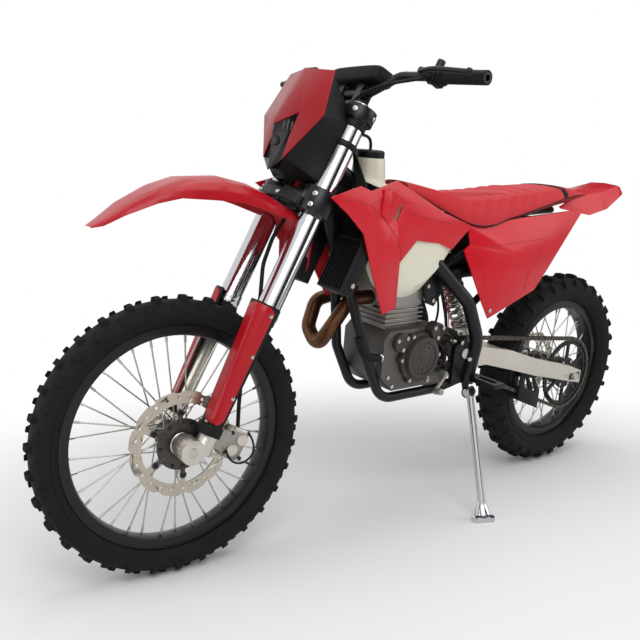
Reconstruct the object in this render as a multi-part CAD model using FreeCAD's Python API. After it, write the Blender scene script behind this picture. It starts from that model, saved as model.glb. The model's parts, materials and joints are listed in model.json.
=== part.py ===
"""Trail motorcycle: an enduro machine parked on its side stand.

The machine is drawn upright, with X forward from the rear axle, Y to its left and Z up from the
floor.  It is then steered, leaned on its stand and set down so that both tyres and the foot of the
stand touch the floor, with the origin on the floor under the middle of its box.
"""
import FreeCAD, Part
import json
import math
import os

from FreeCAD import Placement, Rotation, Vector

# Driving sizes, in millimetres and degrees
wheelbase = 1480.0
front_tyre_radius = 350.0
rear_tyre_radius = 337.0
rake_deg = 26.5
axle_offset = 57.0
leg_offset = 22.0
leg_spacing = 196.0
lean_deg = 7.25
steer_deg = -6.2
overrun = 1.0
slip_gap = 0.1
seat_gap = 0.3
panel_thickness = 4.0

# Wheels
front_tyre_width = 88.0
front_rim_bed_radius = 252.0
front_rim_flange_radius = 280.0
front_rim_width = 48.0
rear_tyre_width = 114.0
rear_rim_bed_radius = 214.0
rear_rim_flange_radius = 243.0
rear_rim_width = 60.0
rim_wall = 4.0
rim_well_depth = 12.0
spoke_count = 36
spoke_radius = 2.0
spoke_cross_deg = 50.0
spoke_rim_lead = 6.0
front_axle_radius = 12.0
rear_axle_radius = 12.0
front_hub_radius = 22.0
front_flange_radius = 34.0
front_flange_place = 30.0
rear_hub_radius = 30.0
rear_flange_radius = 48.0
rear_flange_place = 34.0
flange_thickness = 5.0
tread_pitches = 32
lug_length = 17.0
angle_slack = 1e-6
carcass_shares = [(0.50, 0.94), (0.80, 0.52)]
middle_lug_shares = [(0.72, -0.44), (0.985, -0.30), (0.985, 0.30), (0.72, 0.44)]
shoulder_lug_shares = [(0.56, 0.70), (0.880, 0.66), (0.690, 1.00), (0.52, 0.88)]
front_hub_half_width = 48.0
front_disc_radius = 130.0
front_disc_band = 30.0
front_disc_place = 58.0
front_disc_thickness = 4.0
rear_disc_radius = 110.0
rear_disc_band = 26.0
rear_disc_place = 66.0
rear_disc_thickness = 4.0
disc_arm_count = 6
disc_arm_width = 12.0
disc_carrier_radius = 42.0
disc_wave_count = 12
disc_wave_radius = 20.0
disc_wave_depth = 5.0
disc_hole_radius = 4.0
disc_bolt_radius = 3.2
disc_bolt_inset = 7.0

# Chain drive, with a standard motorcycle chain
chain_pitch = 15.875
rear_teeth = 48
front_teeth = 13
chain_place = 74.0
chain_width = 17.0
chain_height = 14.0
sprocket_thickness = 6.0
sprocket_rim_width = 20.0
sprocket_arm_turn = 30.0
tooth_notch_radius = 3.6
chain_core_height = 9.0
chain_waist_height = 9.0
chain_clearance = 0.6
output_shaft_x = 650.0
output_shaft_z = 498.0

# Fork and steering head, measured along the steering axis
outer_tube_radius = 29.0
seal_radius = 31.0
seal_bottom = 352.0
seal_height = 30.0
outer_tube_top = 916.0
inner_tube_radius = 24.0
axle_lug_length = 62.0
axle_lug_radius = 30.0
lower_clamp_bottom = 625.0
lower_clamp_height = 62.0
upper_clamp_bottom = 876.0
upper_clamp_height = 34.0
clamp_wall = 13.0
clamp_outline = [(-0.62, 0.0), (-0.45, 0.42), (0.1, 1.0), (0.75, 1.0), (0.95, 0.5), (0.8, 0.0)]
clamp_stem_radius = 36.0
stem_radius = 15.0
head_tube_radius = 30.0
head_tube_gap = 10.0

# Handlebar
bar_centre_up = 965.0
bar_radius = 11.0
bar_middle_radius = 14.0
bar_middle_half = 62.0
bar_half_width = 405.0
bar_end_up = 1024.0
bar_end_forward = -48.0
bar_bend_left = 150.0
bar_bend_up = 1016.0
bar_bend_forward = -8.0
bar_bend_radius = 55.0
bar_bore_radius = 8.0
bar_bore_depth = 60.0
grip_length = 122.0
grip_radius = 16.5
riser_place = 42.0
riser_width = 24.0
riser_depth = 36.0
riser_cap = 8.0
pad_half_width = 104.0
pad_height = 46.0
pad_depth = 66.0

# Swingarm
pivot_x = 577.0
pivot_z = 484.0
pivot_radius = 24.0
pivot_bore_radius = 10.0
pivot_half_width = 88.0

# Cradle
cradle_half = 62.0
cradle_radius = 14.0

# Side stand
stand_pivot = Vector(552.0, 126.0, 366.0)
stand_foot_x = 623.0
stand_foot_y = 296.0
stand_leg_radius = 11.0
stand_foot_length = 64.0
stand_foot_width = 34.0
stand_foot_height = 14.0

rake = math.radians(rake_deg)
axis_up = Vector(-math.sin(rake), 0, math.cos(rake))
axis_ahead = Vector(math.cos(rake), 0, math.sin(rake))
front_axle = Vector(wheelbase, 0, front_tyre_radius)
rear_axle = Vector(0, 0, rear_tyre_radius)
axis_foot = front_axle - axis_ahead * axle_offset
fork_frame = Placement(axis_foot, Rotation(Vector(0, 1, 0), -rake_deg))
steer_turn = Placement(Vector(), Rotation(Vector(0, 0, 1), steer_deg))
leg_half = leg_spacing / 2
pieces = {}


def add(name, body, shape):
    """Keep a finished piece under its node name, on the body that carries it."""
    if body in ("steering", "front_wheel"):
        shape = moved(shape, fork_frame * steer_turn)
    pieces[name] = (body, shape)


def moved(shape, placement):
    """A copy of the shape carried by the placement."""
    copy = shape.copy()
    copy.Placement = placement * copy.Placement
    return copy


def fused(*shapes):
    """One shape from many, with the seams between them removed."""
    if len(shapes) == 1:
        return shapes[0]
    return shapes[0].multiFuse(list(shapes[1:])).removeSplitter()


def mirrored(shape):
    """The same piece on the other side of the machine."""
    return shape.mirror(Vector(), Vector(0, 1, 0))


def both_sides(shape):
    """A left piece and its mirror image, as one node."""
    return Part.makeCompound([shape, mirrored(shape)])


def rod(start, end, radius):
    """A round bar from one point to another."""
    run = end - start
    return Part.makeCylinder(radius, run.Length, start, run)


def tube(start, end, outer, inner):
    """A pipe from one point to another, open at both ends."""
    run = end - start
    return rod(start, end, outer).cut(rod(start - run.normalize() * overrun, end + run * overrun, inner))


def cross_rod(x, z, left, right, radius):
    """A round bar across the machine."""
    return rod(Vector(x, right, z), Vector(x, left, z), radius)


def block(back, front, right, left, low, high):
    """A box between two corners, its sides given in either order."""
    return Part.makeBox(front - back, abs(left - right), high - low, Vector(back, min(left, right), low))


def prism(outline, right, left):
    """An outline in X and Z, as wide as from right to left."""
    wire = Part.makePolygon([Vector(x, right, z) for x, z in outline + outline[:1]])
    return Part.Face(wire).extrude(Vector(0, left - right, 0))


def turned(outline):
    """An outline of radius and place along the axle, turned about Y."""
    wire = Part.makePolygon([Vector(radius, place, 0) for radius, place in outline + outline[:1]])
    return Part.Face(wire).revolve(Vector(), Vector(0, 1, 0), 360)


def loft(sections, ruled=False):
    """A solid through closed sections, each a list of corners."""
    wires = [Part.makePolygon(section + section[:1]) for section in sections]
    return Part.makeLoft(wires, True, ruled)


def route(points, bend):
    """Straight runs joined by tangent arcs, as one wire."""
    edges = []
    last = points[0]
    for before, corner, after in zip(points, points[1:], points[2:]):
        back = (before - corner).normalize()
        ahead = (after - corner).normalize()
        half = back.getAngle(ahead) / 2
        reach = min(bend / math.tan(half), 0.48 * (before - corner).Length, 0.48 * (after - corner).Length)
        start = corner + back * reach
        end = corner + ahead * reach
        centre = corner + (back + ahead).normalize() * (reach / math.cos(half))
        middle = centre + (corner - centre).normalize() * (reach * math.tan(half))
        edges.append(Part.LineSegment(last, start).toShape())
        edges.append(Part.Arc(start, middle, end).toShape())
        last = end
    edges.append(Part.LineSegment(last, points[-1]).toShape())
    return Part.Wire(edges)


def bent_rod(points, radius, bend):
    """A round bar along straight runs joined by arcs."""
    path = route(points, bend)
    circle = Part.Wire([Part.Circle(points[0], points[1] - points[0], radius).toShape()])
    return path.makePipeShell([circle], True, False)


def bent_tube(points, outer, inner, bend):
    """A pipe along straight runs joined by arcs, open at both ends."""
    return bent_rod(points, outer, bend).cut(bent_rod(points, inner, bend))


def spread(shares, corner, size):
    """Points from shares of a box that has its low corner and its size."""
    return [Vector(corner.x + sx * size.x, corner.y + sy * size.y, corner.z + sz * size.z)
            for sx, sy, sz in shares]


def facet_shell(points, facets, depth):
    """A thin moulding of flat facets, its wall reaching back from them by the depth."""
    walls = []
    for facet in facets:
        corners = [points[index] for index in facet]
        face = Part.Face(Part.makePolygon(corners + corners[:1]))
        walls.append(face.extrude(depth))
    return fused(*walls)


def around(shape, count, centre=Vector(), axis=Vector(0, 1, 0)):
    """Copies of a shape, evenly turned about an axis."""
    turned_copies = []
    for index in range(count):
        copy = shape.copy()
        copy.rotate(centre, axis, index * 360 / count)
        turned_copies.append(copy)
    return turned_copies


def ring_point(radius, place, angle):
    """A point of a wheel: its radius, its place along the axle and its angle."""
    return Vector(radius * math.cos(angle), place, radius * math.sin(angle))


def flat_face(corners):
    """A flat face through its corners."""
    return Part.Face(Part.makePolygon(corners + corners[:1]))


def tyre_pitch(outline, lugs, angle):
    """The part of a tyre within one pitch of its tread, with two rows of lugs, as open walls."""
    half = angle / 2
    ends = [[ring_point(radius, place, turn) for radius, place in outline] for turn in (-half, half)]
    walls = [flat_face([ends[0][i], ends[0][i - 1], ends[1][i - 1], ends[1][i]]) for i in range(len(outline))]
    shape = Part.Solid(Part.Shell(walls + [flat_face(end) for end in ends]))
    blocks = []
    for row, corners in lugs:
        turn = row * half / 2
        along = Vector(-math.sin(turn), 0, math.cos(turn)) * lug_length
        face = flat_face([ring_point(radius, place, turn) - along / 2 for radius, place in corners])
        blocks.append(face.extrude(along))
    shape = fused(shape, *blocks)
    return [face for face in shape.Faces
            if not any(all(abs(math.atan2(v.Z, v.X) - turn) < angle_slack for v in face.Vertexes)
                       for turn in (-half, half))]


def wheel_tyre(tip, width, flange, bed, rim_width):
    """A knobbly tyre, its beads seated in the rim."""
    grow = 1 / math.cos(math.pi / tread_pitches)
    seat = (bed + rim_well_depth + slip_gap) * grow
    edge = (flange + slip_gap) * grow
    bead = rim_width / 2 - rim_wall - slip_gap
    depth = tip - flange
    half = [(seat, bead), (edge, bead), (edge, rim_width / 2)]
    half += [(flange + out * depth, side * width / 2) for out, side in carcass_shares]
    outline = half + [(radius, -place) for radius, place in reversed(half)]
    lugs = [(row, [(flange + out * depth, way * side * width / 2) for out, side in corners])
            for row, way, corners in ((-1, 1, middle_lug_shares), (1, 1, shoulder_lug_shares),
                                      (1, -1, shoulder_lug_shares))]
    angle = 2 * math.pi / tread_pitches
    faces = tyre_pitch(outline, lugs, angle)
    walls = []
    for index in range(tread_pitches):
        turn = Placement(Vector(), Rotation(Vector(0, -1, 0), math.degrees(angle * (index + 1 / 4))))
        walls += [moved(face, turn) for face in faces]
    return Part.Solid(Part.Shell(walls))


def wheel_rim(bed, flange, width):
    """A rim with a well and two flanges."""
    half = width / 2
    inner = half - rim_wall
    drop = rim_well_depth
    return turned([(bed, -half * 0.35), (bed + drop * 0.4, -half), (flange, -half), (flange, -inner),
                   (bed + drop, -inner), (bed + drop, inner), (flange, inner), (flange, half),
                   (bed + drop * 0.4, half), (bed, half * 0.35)])


def spokes(flange_radius, flange_place, bed):
    """Crossed spokes from both hub flanges to the rim."""
    wires = []
    for index in range(spoke_count):
        side = 1 if index % 2 else -1
        lean = spoke_cross_deg if (index // 2) % 2 else -spoke_cross_deg
        at_rim = math.radians(index * 360 / spoke_count)
        at_hub = at_rim + math.radians(lean)
        head = flange_radius - spoke_radius * 2
        reach = bed - spoke_radius / 2
        start = Vector(head * math.cos(at_hub), side * flange_place, head * math.sin(at_hub))
        end = Vector(reach * math.cos(at_rim), side * spoke_rim_lead, reach * math.sin(at_rim))
        wires.append(rod(start, end, spoke_radius))
    return wires


def disc(radius, band, place, thickness, bore):
    """A brake disc: a band, its arms and the ring that is bolted to the hub."""
    low = place - thickness / 2
    high = place + thickness / 2
    ring = turned([(radius - band, low), (radius, low), (radius, high), (radius - band, high)])
    carrier = turned([(bore, low), (disc_carrier_radius, low), (disc_carrier_radius, high), (bore, high)])
    arm = block(disc_carrier_radius - overrun, radius - band + overrun, low, high,
                -disc_arm_width / 2, disc_arm_width / 2)
    whole = fused(ring, carrier, *around(arm, disc_arm_count))
    cuts = []
    for reach, size, count in ((radius + disc_wave_radius - disc_wave_depth, disc_wave_radius, disc_wave_count),
                               (radius - band / 2, disc_hole_radius, disc_wave_count * 2),
                               (disc_carrier_radius - disc_bolt_inset, disc_bolt_radius, disc_arm_count)):
        hole = rod(Vector(reach, low - overrun, 0), Vector(reach, high + overrun, 0), size)
        cuts += around(hole, count)
    return whole.cut(Part.makeCompound(cuts))


def make_front_wheel():
    """The front wheel, about its own axle."""
    centre = Placement(Vector(axle_offset, 0, 0), Rotation())
    add("front_tyre", "front_wheel", moved(wheel_tyre(
        front_tyre_radius, front_tyre_width, front_rim_flange_radius, front_rim_bed_radius,
        front_rim_width), centre))
    add("front_rim", "front_wheel", moved(wheel_rim(
        front_rim_bed_radius, front_rim_flange_radius, front_rim_width), centre))
    bore = front_axle_radius + slip_gap
    half = front_hub_half_width
    flange_in = front_flange_place - flange_thickness / 2
    flange_out = front_flange_place + flange_thickness / 2
    seat = front_disc_place - front_disc_thickness / 2
    hub = turned([(bore, -half), (front_hub_radius, -half), (front_hub_radius, -flange_out),
                  (front_flange_radius, -flange_out), (front_flange_radius, -flange_in),
                  (front_hub_radius, -flange_in), (front_hub_radius, flange_in),
                  (front_flange_radius, flange_in), (front_flange_radius, flange_out),
                  (disc_carrier_radius, seat - flange_thickness), (disc_carrier_radius, seat),
                  (bore, seat)])
    wires = spokes(front_flange_radius, front_flange_place, front_rim_bed_radius)
    add("front_hub", "front_wheel", moved(fused(hub, *wires), centre))
    add("front_disc", "front_wheel", moved(disc(
        front_disc_radius, front_disc_band, front_disc_place, front_disc_thickness, bore), centre))


def make_rear_wheel():
    """The rear wheel with its sprocket and disc."""
    centre = Placement(rear_axle, Rotation())
    add("rear_tyre", "rear_wheel", moved(wheel_tyre(
        rear_tyre_radius, rear_tyre_width, rear_rim_flange_radius, rear_rim_bed_radius,
        rear_rim_width), centre))
    add("rear_rim", "rear_wheel", moved(wheel_rim(
        rear_rim_bed_radius, rear_rim_flange_radius, rear_rim_width), centre))
    bore = rear_axle_radius + slip_gap
    flange_in = rear_flange_place - flange_thickness / 2
    flange_out = rear_flange_place + flange_thickness / 2
    disc_seat = rear_disc_place - rear_disc_thickness / 2
    sprocket_seat = chain_place - sprocket_thickness / 2
    hub = turned([(bore, -disc_seat), (disc_carrier_radius, -disc_seat),
                  (disc_carrier_radius, -disc_seat + flange_thickness), (rear_flange_radius, -flange_out),
                  (rear_flange_radius, -flange_in), (rear_hub_radius, -flange_in),
                  (rear_hub_radius, flange_in), (rear_flange_radius, flange_in),
                  (rear_flange_radius, flange_out), (rear_flange_radius, sprocket_seat),
                  (bore, sprocket_seat)])
    wires = spokes(rear_flange_radius, rear_flange_place, rear_rim_bed_radius)
    add("rear_hub", "rear_wheel", moved(fused(hub, *wires), centre))
    rear_disc = disc(rear_disc_radius, rear_disc_band, -rear_disc_place, rear_disc_thickness, bore)
    add("rear_disc", "rear_wheel", moved(rear_disc, centre))
    add("rear_sprocket", "rear_wheel", moved(rear_sprocket(), centre))


def pitch_radius(teeth):
    """The radius of the chain's pins on a sprocket."""
    return chain_pitch / (2 * math.sin(math.pi / teeth))


def toothed_wheel(teeth, place, bore):
    """A wheel whose teeth end inside the chain's rollers."""
    tip = pitch_radius(teeth) - chain_core_height / 2 - chain_clearance
    low = place - sprocket_thickness / 2
    high = place + sprocket_thickness / 2
    wheel = turned([(bore, low), (tip, low), (tip, high), (bore, high)])
    notch = rod(Vector(tip + tooth_notch_radius / 2, low - overrun, 0),
                Vector(tip + tooth_notch_radius / 2, high + overrun, 0), tooth_notch_radius)
    return wheel.cut(Part.makeCompound(around(notch, teeth)))


def rear_sprocket():
    """The rear sprocket, opened by slots between its arms."""
    bore = rear_axle_radius + slip_gap
    wheel = toothed_wheel(rear_teeth, chain_place, bore)
    rim = pitch_radius(rear_teeth) - sprocket_rim_width
    ring = [(rear_flange_radius + sprocket_thickness, chain_place - sprocket_thickness),
            (rim, chain_place - sprocket_thickness), (rim, chain_place + sprocket_thickness),
            (rear_flange_radius + sprocket_thickness, chain_place + sprocket_thickness)]
    windows = turned(ring)
    arm = block(0, rim + overrun, chain_place - sprocket_thickness, chain_place + sprocket_thickness,
                -disc_arm_width / 2, disc_arm_width / 2)
    arm.rotate(Vector(), Vector(0, 1, 0), sprocket_arm_turn)
    return wheel.cut(windows.cut(Part.makeCompound(around(arm, disc_arm_count))))


def chain_line():
    """The closed path of the chain's pins round both sprockets."""
    big = pitch_radius(rear_teeth)
    small = pitch_radius(front_teeth)
    front = Vector(output_shaft_x, chain_place, output_shaft_z)
    rear = Vector(0, chain_place, rear_tyre_radius)
    run = front - rear
    tilt = math.atan2(run.z, run.x)
    wedge = math.asin((big - small) / run.Length)

    def at(centre, radius, angle):
        return centre + Vector(radius * math.cos(angle), 0, radius * math.sin(angle))
    over = tilt + math.pi / 2 - wedge
    under = tilt - math.pi / 2 + wedge
    return front, rear, small, big, over, under, at


def chain_band(out, width):
    """The solid that the chain's path bounds when its radii grow by out."""
    front, rear, small, big, over, under, at = chain_line()
    front_top, rear_top = at(front, small + out, over), at(rear, big + out, over)
    front_low, rear_low = at(front, small + out, under), at(rear, big + out, under)
    middle = (over + under) / 2
    nose = at(front, small + out, middle)
    back = at(rear, big + out, middle + math.pi)
    wire = Part.Wire([
        Part.LineSegment(rear_top, front_top).toShape(), Part.Arc(front_top, nose, front_low).toShape(),
        Part.LineSegment(front_low, rear_low).toShape(), Part.Arc(rear_low, back, rear_top).toShape()])
    slab = Part.Face(wire).extrude(Vector(0, width, 0))
    slab.translate(Vector(0, -width / 2, 0))
    return slab


def chain_length():
    """The length of the chain's path through its pins."""
    front, rear, small, big, over, under, at = chain_line()
    run = (at(front, small, over) - at(rear, big, over)).Length
    return 2 * run + small * (over - under) + big * (2 * math.pi - over + under)


def chain_point(way, out):
    """The point this far along the chain's path and this far outside of it."""
    front, rear, small, big, over, under, at = chain_line()
    run = (at(front, small, over) - at(rear, big, over)).Length
    turn = small * (over - under)
    if way < run:
        return at(rear, big + out, over) + (at(front, small + out, over) - at(rear, big + out, over)) * (way / run)
    if way < run + turn:
        return at(front, small + out, over - (way - run) / small)
    way -= run + turn
    if way < run:
        return at(front, small + out, under) + (at(rear, big + out, under) - at(front, small + out, under)) * (way / run)
    return at(rear, big + out, under - (way - run) / big)


def make_chain():
    """The chain as one loop, high at each pin and low between them."""
    whole = chain_length()
    links = 2 * round(whole / chain_pitch / 2)
    outline = []
    for index in range(links):
        outline.append(chain_point(whole * index / links, chain_height / 2))
        outline.append(chain_point(whole * (index + 1 / 2) / links, chain_waist_height / 2))
    loop = flat_face(outline).extrude(Vector(0, chain_width, 0))
    loop.translate(Vector(0, -chain_width / 2, 0))
    add("drive_chain", "chassis", loop.cut(chain_band(-chain_core_height / 2, chain_width + overrun)))


def leg(up, forward=leg_offset, left=leg_half):
    """A point in the fork's own frame, on the left leg's centre line unless told otherwise."""
    return Vector(forward, left, up)


def make_fork():
    """The two fork legs: bright outer tubes above, inner tubes and axle lugs below."""
    outer = fused(rod(leg(seal_bottom), leg(outer_tube_top), outer_tube_radius),
                  rod(leg(seal_bottom), leg(seal_bottom + seal_height), seal_radius))
    add("fork_outer_tubes", "steering", both_sides(outer))
    lug = cross_rod(axle_offset, 0, leg_half + axle_lug_length / 2, leg_half - inner_tube_radius, axle_lug_radius)
    inner = fused(rod(leg(0), leg(seal_bottom), inner_tube_radius), lug)
    axle_bore = cross_rod(axle_offset, 0, leg_half + axle_lug_length, -leg_half - axle_lug_length, front_axle_radius)
    add("fork_lower_legs", "steering", both_sides(inner.cut(axle_bore)))
    axle = cross_rod(axle_offset, 0, leg_half + axle_lug_length / 2, -leg_half - axle_lug_length / 2,
                     front_axle_radius)
    right_collar = cross_rod(axle_offset, 0, -front_hub_half_width - seat_gap,
                             -leg_half + inner_tube_radius + slip_gap, front_hub_radius)
    disc_face = front_disc_place + front_disc_thickness / 2 + seat_gap
    left_collar = cross_rod(axle_offset, 0, leg_half - inner_tube_radius - slip_gap, disc_face,
                            front_hub_radius)
    add("front_axle", "steering", fused(axle, right_collar, left_collar))


# Fork guard and caliper
guard_bottom = 48.0
guard_top = 384.0
guard_forward = 62.0
guard_foot_forward = 44.0
guard_left = 128.0
guard_spread = 1.06
guard_section = [(-0.35, 1.0), (0.55, 1.0), (1.0, 0.45), (1.0, -0.75), (0.9, -0.75), (0.9, 0.4), (0.5, 0.9),
                 (-0.35, 0.9)]


def make_fork_guards():
    """The guards in front of and beside the inner tubes."""
    out = guard_left - leg_half
    low = [leg(guard_bottom, leg_offset + fx * (guard_foot_forward - leg_offset), leg_half + fy * out)
           for fx, fy in guard_section]
    high = [leg(guard_top, leg_offset + fx * (guard_forward - leg_offset), leg_half + fy * out * guard_spread)
            for fx, fy in guard_section]
    guard = loft([low, high], True)
    legs = [rod(leg(0), leg(seal_bottom), inner_tube_radius + seat_gap),
            rod(leg(seal_bottom - overrun), leg(outer_tube_top), seal_radius + seat_gap),
            cross_rod(axle_offset, 0, leg_half + axle_lug_length, 0, axle_lug_radius + seat_gap)]
    foot = rod(leg(guard_bottom), leg(guard_bottom + clamp_wall * 2), inner_tube_radius + clamp_wall)
    keep = block(leg_offset - clamp_wall, guard_forward, leg_half - clamp_wall * 2, guard_left,
                 guard_bottom, guard_top)
    guard = fused(guard, foot.common(keep))
    for shape in legs:
        guard = guard.cut(shape)
    add("fork_guards", "steering", both_sides(guard))


def clamp_plate(low, height, tube_radius, stem_bore):
    """A clamp that joins both fork tubes and the stem."""
    high = low + height
    ring = tube_radius + clamp_wall
    half = [(forward * ring, left * leg_half) for forward, left in clamp_outline]
    corners = half + [(forward, -left) for forward, left in reversed(half[1:-1])]
    wire = Part.makePolygon([Vector(forward, left, low) for forward, left in corners + corners[:1]])
    web = Part.Face(wire).extrude(Vector(0, 0, height))
    rings = [rod(leg(low, left=side * leg_half), leg(high, left=side * leg_half), ring) for side in (1, -1)]
    boss = rod(leg(low, 0, 0), leg(high, 0, 0), clamp_stem_radius)
    plate = fused(web, boss, *rings)
    for side in (1, -1):
        plate = plate.cut(rod(leg(low - overrun, left=side * leg_half),
                              leg(high + overrun, left=side * leg_half), tube_radius))
    return plate.cut(rod(leg(low - overrun, 0, 0), leg(high + overrun, 0, 0), stem_bore))


fender_boss_forward = 26.0
fender_boss_left = 26.0
fender_boss_radius = 9.0
fender_boss_reach = 9.0
nut_radius = 19.0
nut_height = 9.0
fender_low = 369.0
fender_rise = 255.5


def make_clamps():
    """Both triple clamps, and the stem that turns in the head tube."""
    lower_top = lower_clamp_bottom + lower_clamp_height
    upper_top = upper_clamp_bottom + upper_clamp_height
    stem = rod(leg(lower_clamp_bottom, 0, 0), leg(upper_top, 0, 0), stem_radius)
    nut = Part.Face(Part.makePolygon([
        Vector(nut_radius * math.cos(math.radians(angle)), nut_radius * math.sin(math.radians(angle)),
               upper_top) for angle in range(0, 361, 60)])).extrude(Vector(0, 0, nut_height))
    collar_low = rod(leg(lower_top, 0, 0), leg(lower_top + head_tube_gap - seat_gap, 0, 0),
                     head_tube_radius - clamp_wall / 2)
    collar_high = rod(leg(upper_clamp_bottom - head_tube_gap + seat_gap, 0, 0),
                      leg(upper_clamp_bottom, 0, 0), head_tube_radius - clamp_wall / 2)
    lower = clamp_plate(lower_clamp_bottom, lower_clamp_height, outer_tube_radius, stem_radius)
    fender = pieces["front_fender"][1]
    bolts = []
    for side in (1, -1):
        foot = leg(fender_low + fender_rise - fender_boss_reach, fender_boss_forward, side * fender_boss_left)
        top = leg(lower_clamp_bottom + overrun, fender_boss_forward, side * fender_boss_left)
        boss = moved(rod(foot, top, fender_boss_radius), fork_frame * steer_turn).cut(fender)
        bolts.append(max(boss.Solids, key=lambda solid: solid.CenterOfMass.z))
    clamp = moved(fused(lower, stem, nut, collar_low, collar_high), fork_frame * steer_turn)
    pieces["lower_clamp"] = ("steering", fused(clamp, *bolts))
    upper = clamp_plate(upper_clamp_bottom, upper_clamp_height, outer_tube_radius, stem_radius)
    cap_top = bar_centre_up + bar_middle_radius + riser_cap
    risers = [block(-riser_depth / 2, riser_depth / 2, side * riser_place - riser_width / 2,
                    side * riser_place + riser_width / 2, upper_top, cap_top) for side in (1, -1)]
    bar_room = cross_rod(0, bar_centre_up, riser_place + riser_width, -riser_place - riser_width,
                         bar_middle_radius)
    add("upper_clamp", "steering", fused(upper, *risers).cut(bar_room))


def bar_points(half):
    """The centre line of half the handlebar, from the middle to one end."""
    return [Vector(0, 0, bar_centre_up), Vector(0, half * bar_middle_half, bar_centre_up),
            Vector(bar_bend_forward, half * bar_bend_left, bar_bend_up),
            Vector(bar_end_forward, half * bar_half_width, bar_end_up)]


pad_chamfer = 9.0


def make_handlebar():
    """The tapered handlebar, its risers, grips, pad, levers and mirror bosses."""
    left = bar_points(1)
    right = bar_points(-1)
    line = list(reversed(right[1:])) + left[1:]
    bar = bent_rod(line, bar_radius, bar_bend_radius)
    middle = cross_rod(0, bar_centre_up, bar_middle_half, -bar_middle_half, bar_middle_radius)
    bar = fused(bar, middle)
    grips = []
    for points in (left, right):
        end = points[-1]
        inward = (points[-2] - end).normalize()
        bar = bar.cut(rod(end - inward * overrun, end + inward * bar_bore_depth, bar_bore_radius))
        grip = tube(end, end + inward * grip_length, grip_radius, bar_radius)
        flange = tube(end + inward * grip_length, end + inward * (grip_length + flange_thickness),
                      grip_radius + flange_thickness, bar_radius)
        grips.append(fused(grip, flange))
    add("handlebar", "steering", bar)
    add("grips", "steering", Part.makeCompound(grips))
    cap_top = bar_centre_up + bar_middle_radius + riser_cap
    pad = block(-pad_depth / 2, pad_depth / 2, -pad_half_width, pad_half_width,
                cap_top + seat_gap, cap_top + pad_height)
    add("bar_pad", "steering", pad.makeChamfer(pad_chamfer, pad.Edges).cut(bar))


perch_from_end = 152.0
perch_width = 26.0
perch_wall = 7.0
lever_gap = 44.0
lever_drop = 12.0
lever_radius = 6.0
lever_reach = 0.93
mirror_bore_radius = 5.0
mirror_bore_depth = 16.0
mirror_boss_radius = 10.0
mirror_boss_height = 30.0


def lever_set(side):
    """A perch round the bar, the lever that it carries, and the mirror boss on top of it."""
    points = bar_points(side)
    end = points[-1]
    inward = (points[-2] - end).normalize()
    centre = end + inward * perch_from_end
    half = inward * (perch_width / 2)
    collar = tube(centre - half, centre + half, bar_radius + perch_wall, bar_radius)
    ahead = Vector(1, 0, 0)
    arm_start = centre + ahead * (bar_radius + perch_wall / 2)
    hinge = centre + ahead * lever_gap - Vector(0, 0, lever_drop)
    arm = rod(arm_start, hinge, perch_wall + lever_radius / 2)
    boss_foot = centre + Vector(0, 0, bar_radius)
    top = boss_foot + Vector(0, 0, mirror_boss_height)
    boss = rod(boss_foot, top, mirror_boss_radius)
    boss = boss.cut(rod(top + Vector(0, 0, overrun), top - Vector(0, 0, mirror_bore_depth), mirror_bore_radius))
    boss = boss.cut(rod(centre - half * 2, centre + half * 2, bar_radius + perch_wall + seat_gap))
    perch = fused(collar, arm).cut(rod(centre - half * 2, centre + half * 2, bar_radius))
    tip = end + inward * (perch_from_end * (1 - lever_reach)) + ahead * lever_gap
    tip = tip - Vector(0, 0, lever_drop)
    knee = hinge + (tip - hinge) * 0.35 + ahead * lever_radius * 2
    blade = bent_rod([hinge, knee, tip], lever_radius, perch_from_end)
    ball = Part.makeSphere(lever_radius * 1.5, tip)
    lever = fused(blade, ball).cut(rod(arm_start, hinge, perch_wall + lever_radius / 2))
    return perch, lever, boss, centre, top


reservoir_length = 52.0
reservoir_width = 34.0
reservoir_height = 26.0
marks = {}


def make_levers():
    """The clutch perch and lever on the left, the brake master cylinder on the right."""
    left_perch, left_lever, left_boss, left_centre, left_top = lever_set(1)
    right_perch, right_lever, right_boss, right_centre, right_top = lever_set(-1)
    low = right_centre + Vector(bar_radius + perch_wall / 2, 0, -lever_drop / 4)
    tank = block(low.x, low.x + reservoir_width, low.y - perch_width / 2, low.y + reservoir_length,
                 low.z, low.z + reservoir_height)
    line = bar_points(-1)
    tank = tank.cut(rod(line[-2], line[-1], bar_radius + perch_wall / 2))
    tank = tank.cut(rod(right_centre, right_top, mirror_boss_radius + seat_gap))
    add("lever_perches", "steering", Part.makeCompound([left_perch, fused(right_perch, tank)]))
    add("mirror_bosses", "steering", Part.makeCompound([left_boss, right_boss]))
    add("hand_levers", "steering", Part.makeCompound([left_lever, right_lever]))
    marks["mirror_left"] = left_top
    marks["mirror_right"] = right_top


# Headlight mask, in the fork's frame: forward, left, up
mask_forward = 133.0
mask_nose = 38.0
mask_half_width = 139.0
mask_low = 712.0
mask_height = 240.0
mask_shares = [
    (0.50, 0.00, 0.985), (0.05, 0.72, 0.980), (0.00, 1.00, 0.490), (0.95, 0.00, 0.310),
    (0.45, 0.42, 0.490), (0.00, 0.33, 0.010), (0.15, 0.30, 0.250)]


def mask_points(side):
    """The corners of half the mask: crown, shoulder, cheek, nose, brow, tip and lamp edge."""
    return [Vector(mask_forward + forward * mask_nose, side * left * mask_half_width,
                   mask_low + up * mask_height) for forward, left, up in mask_shares]


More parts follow.
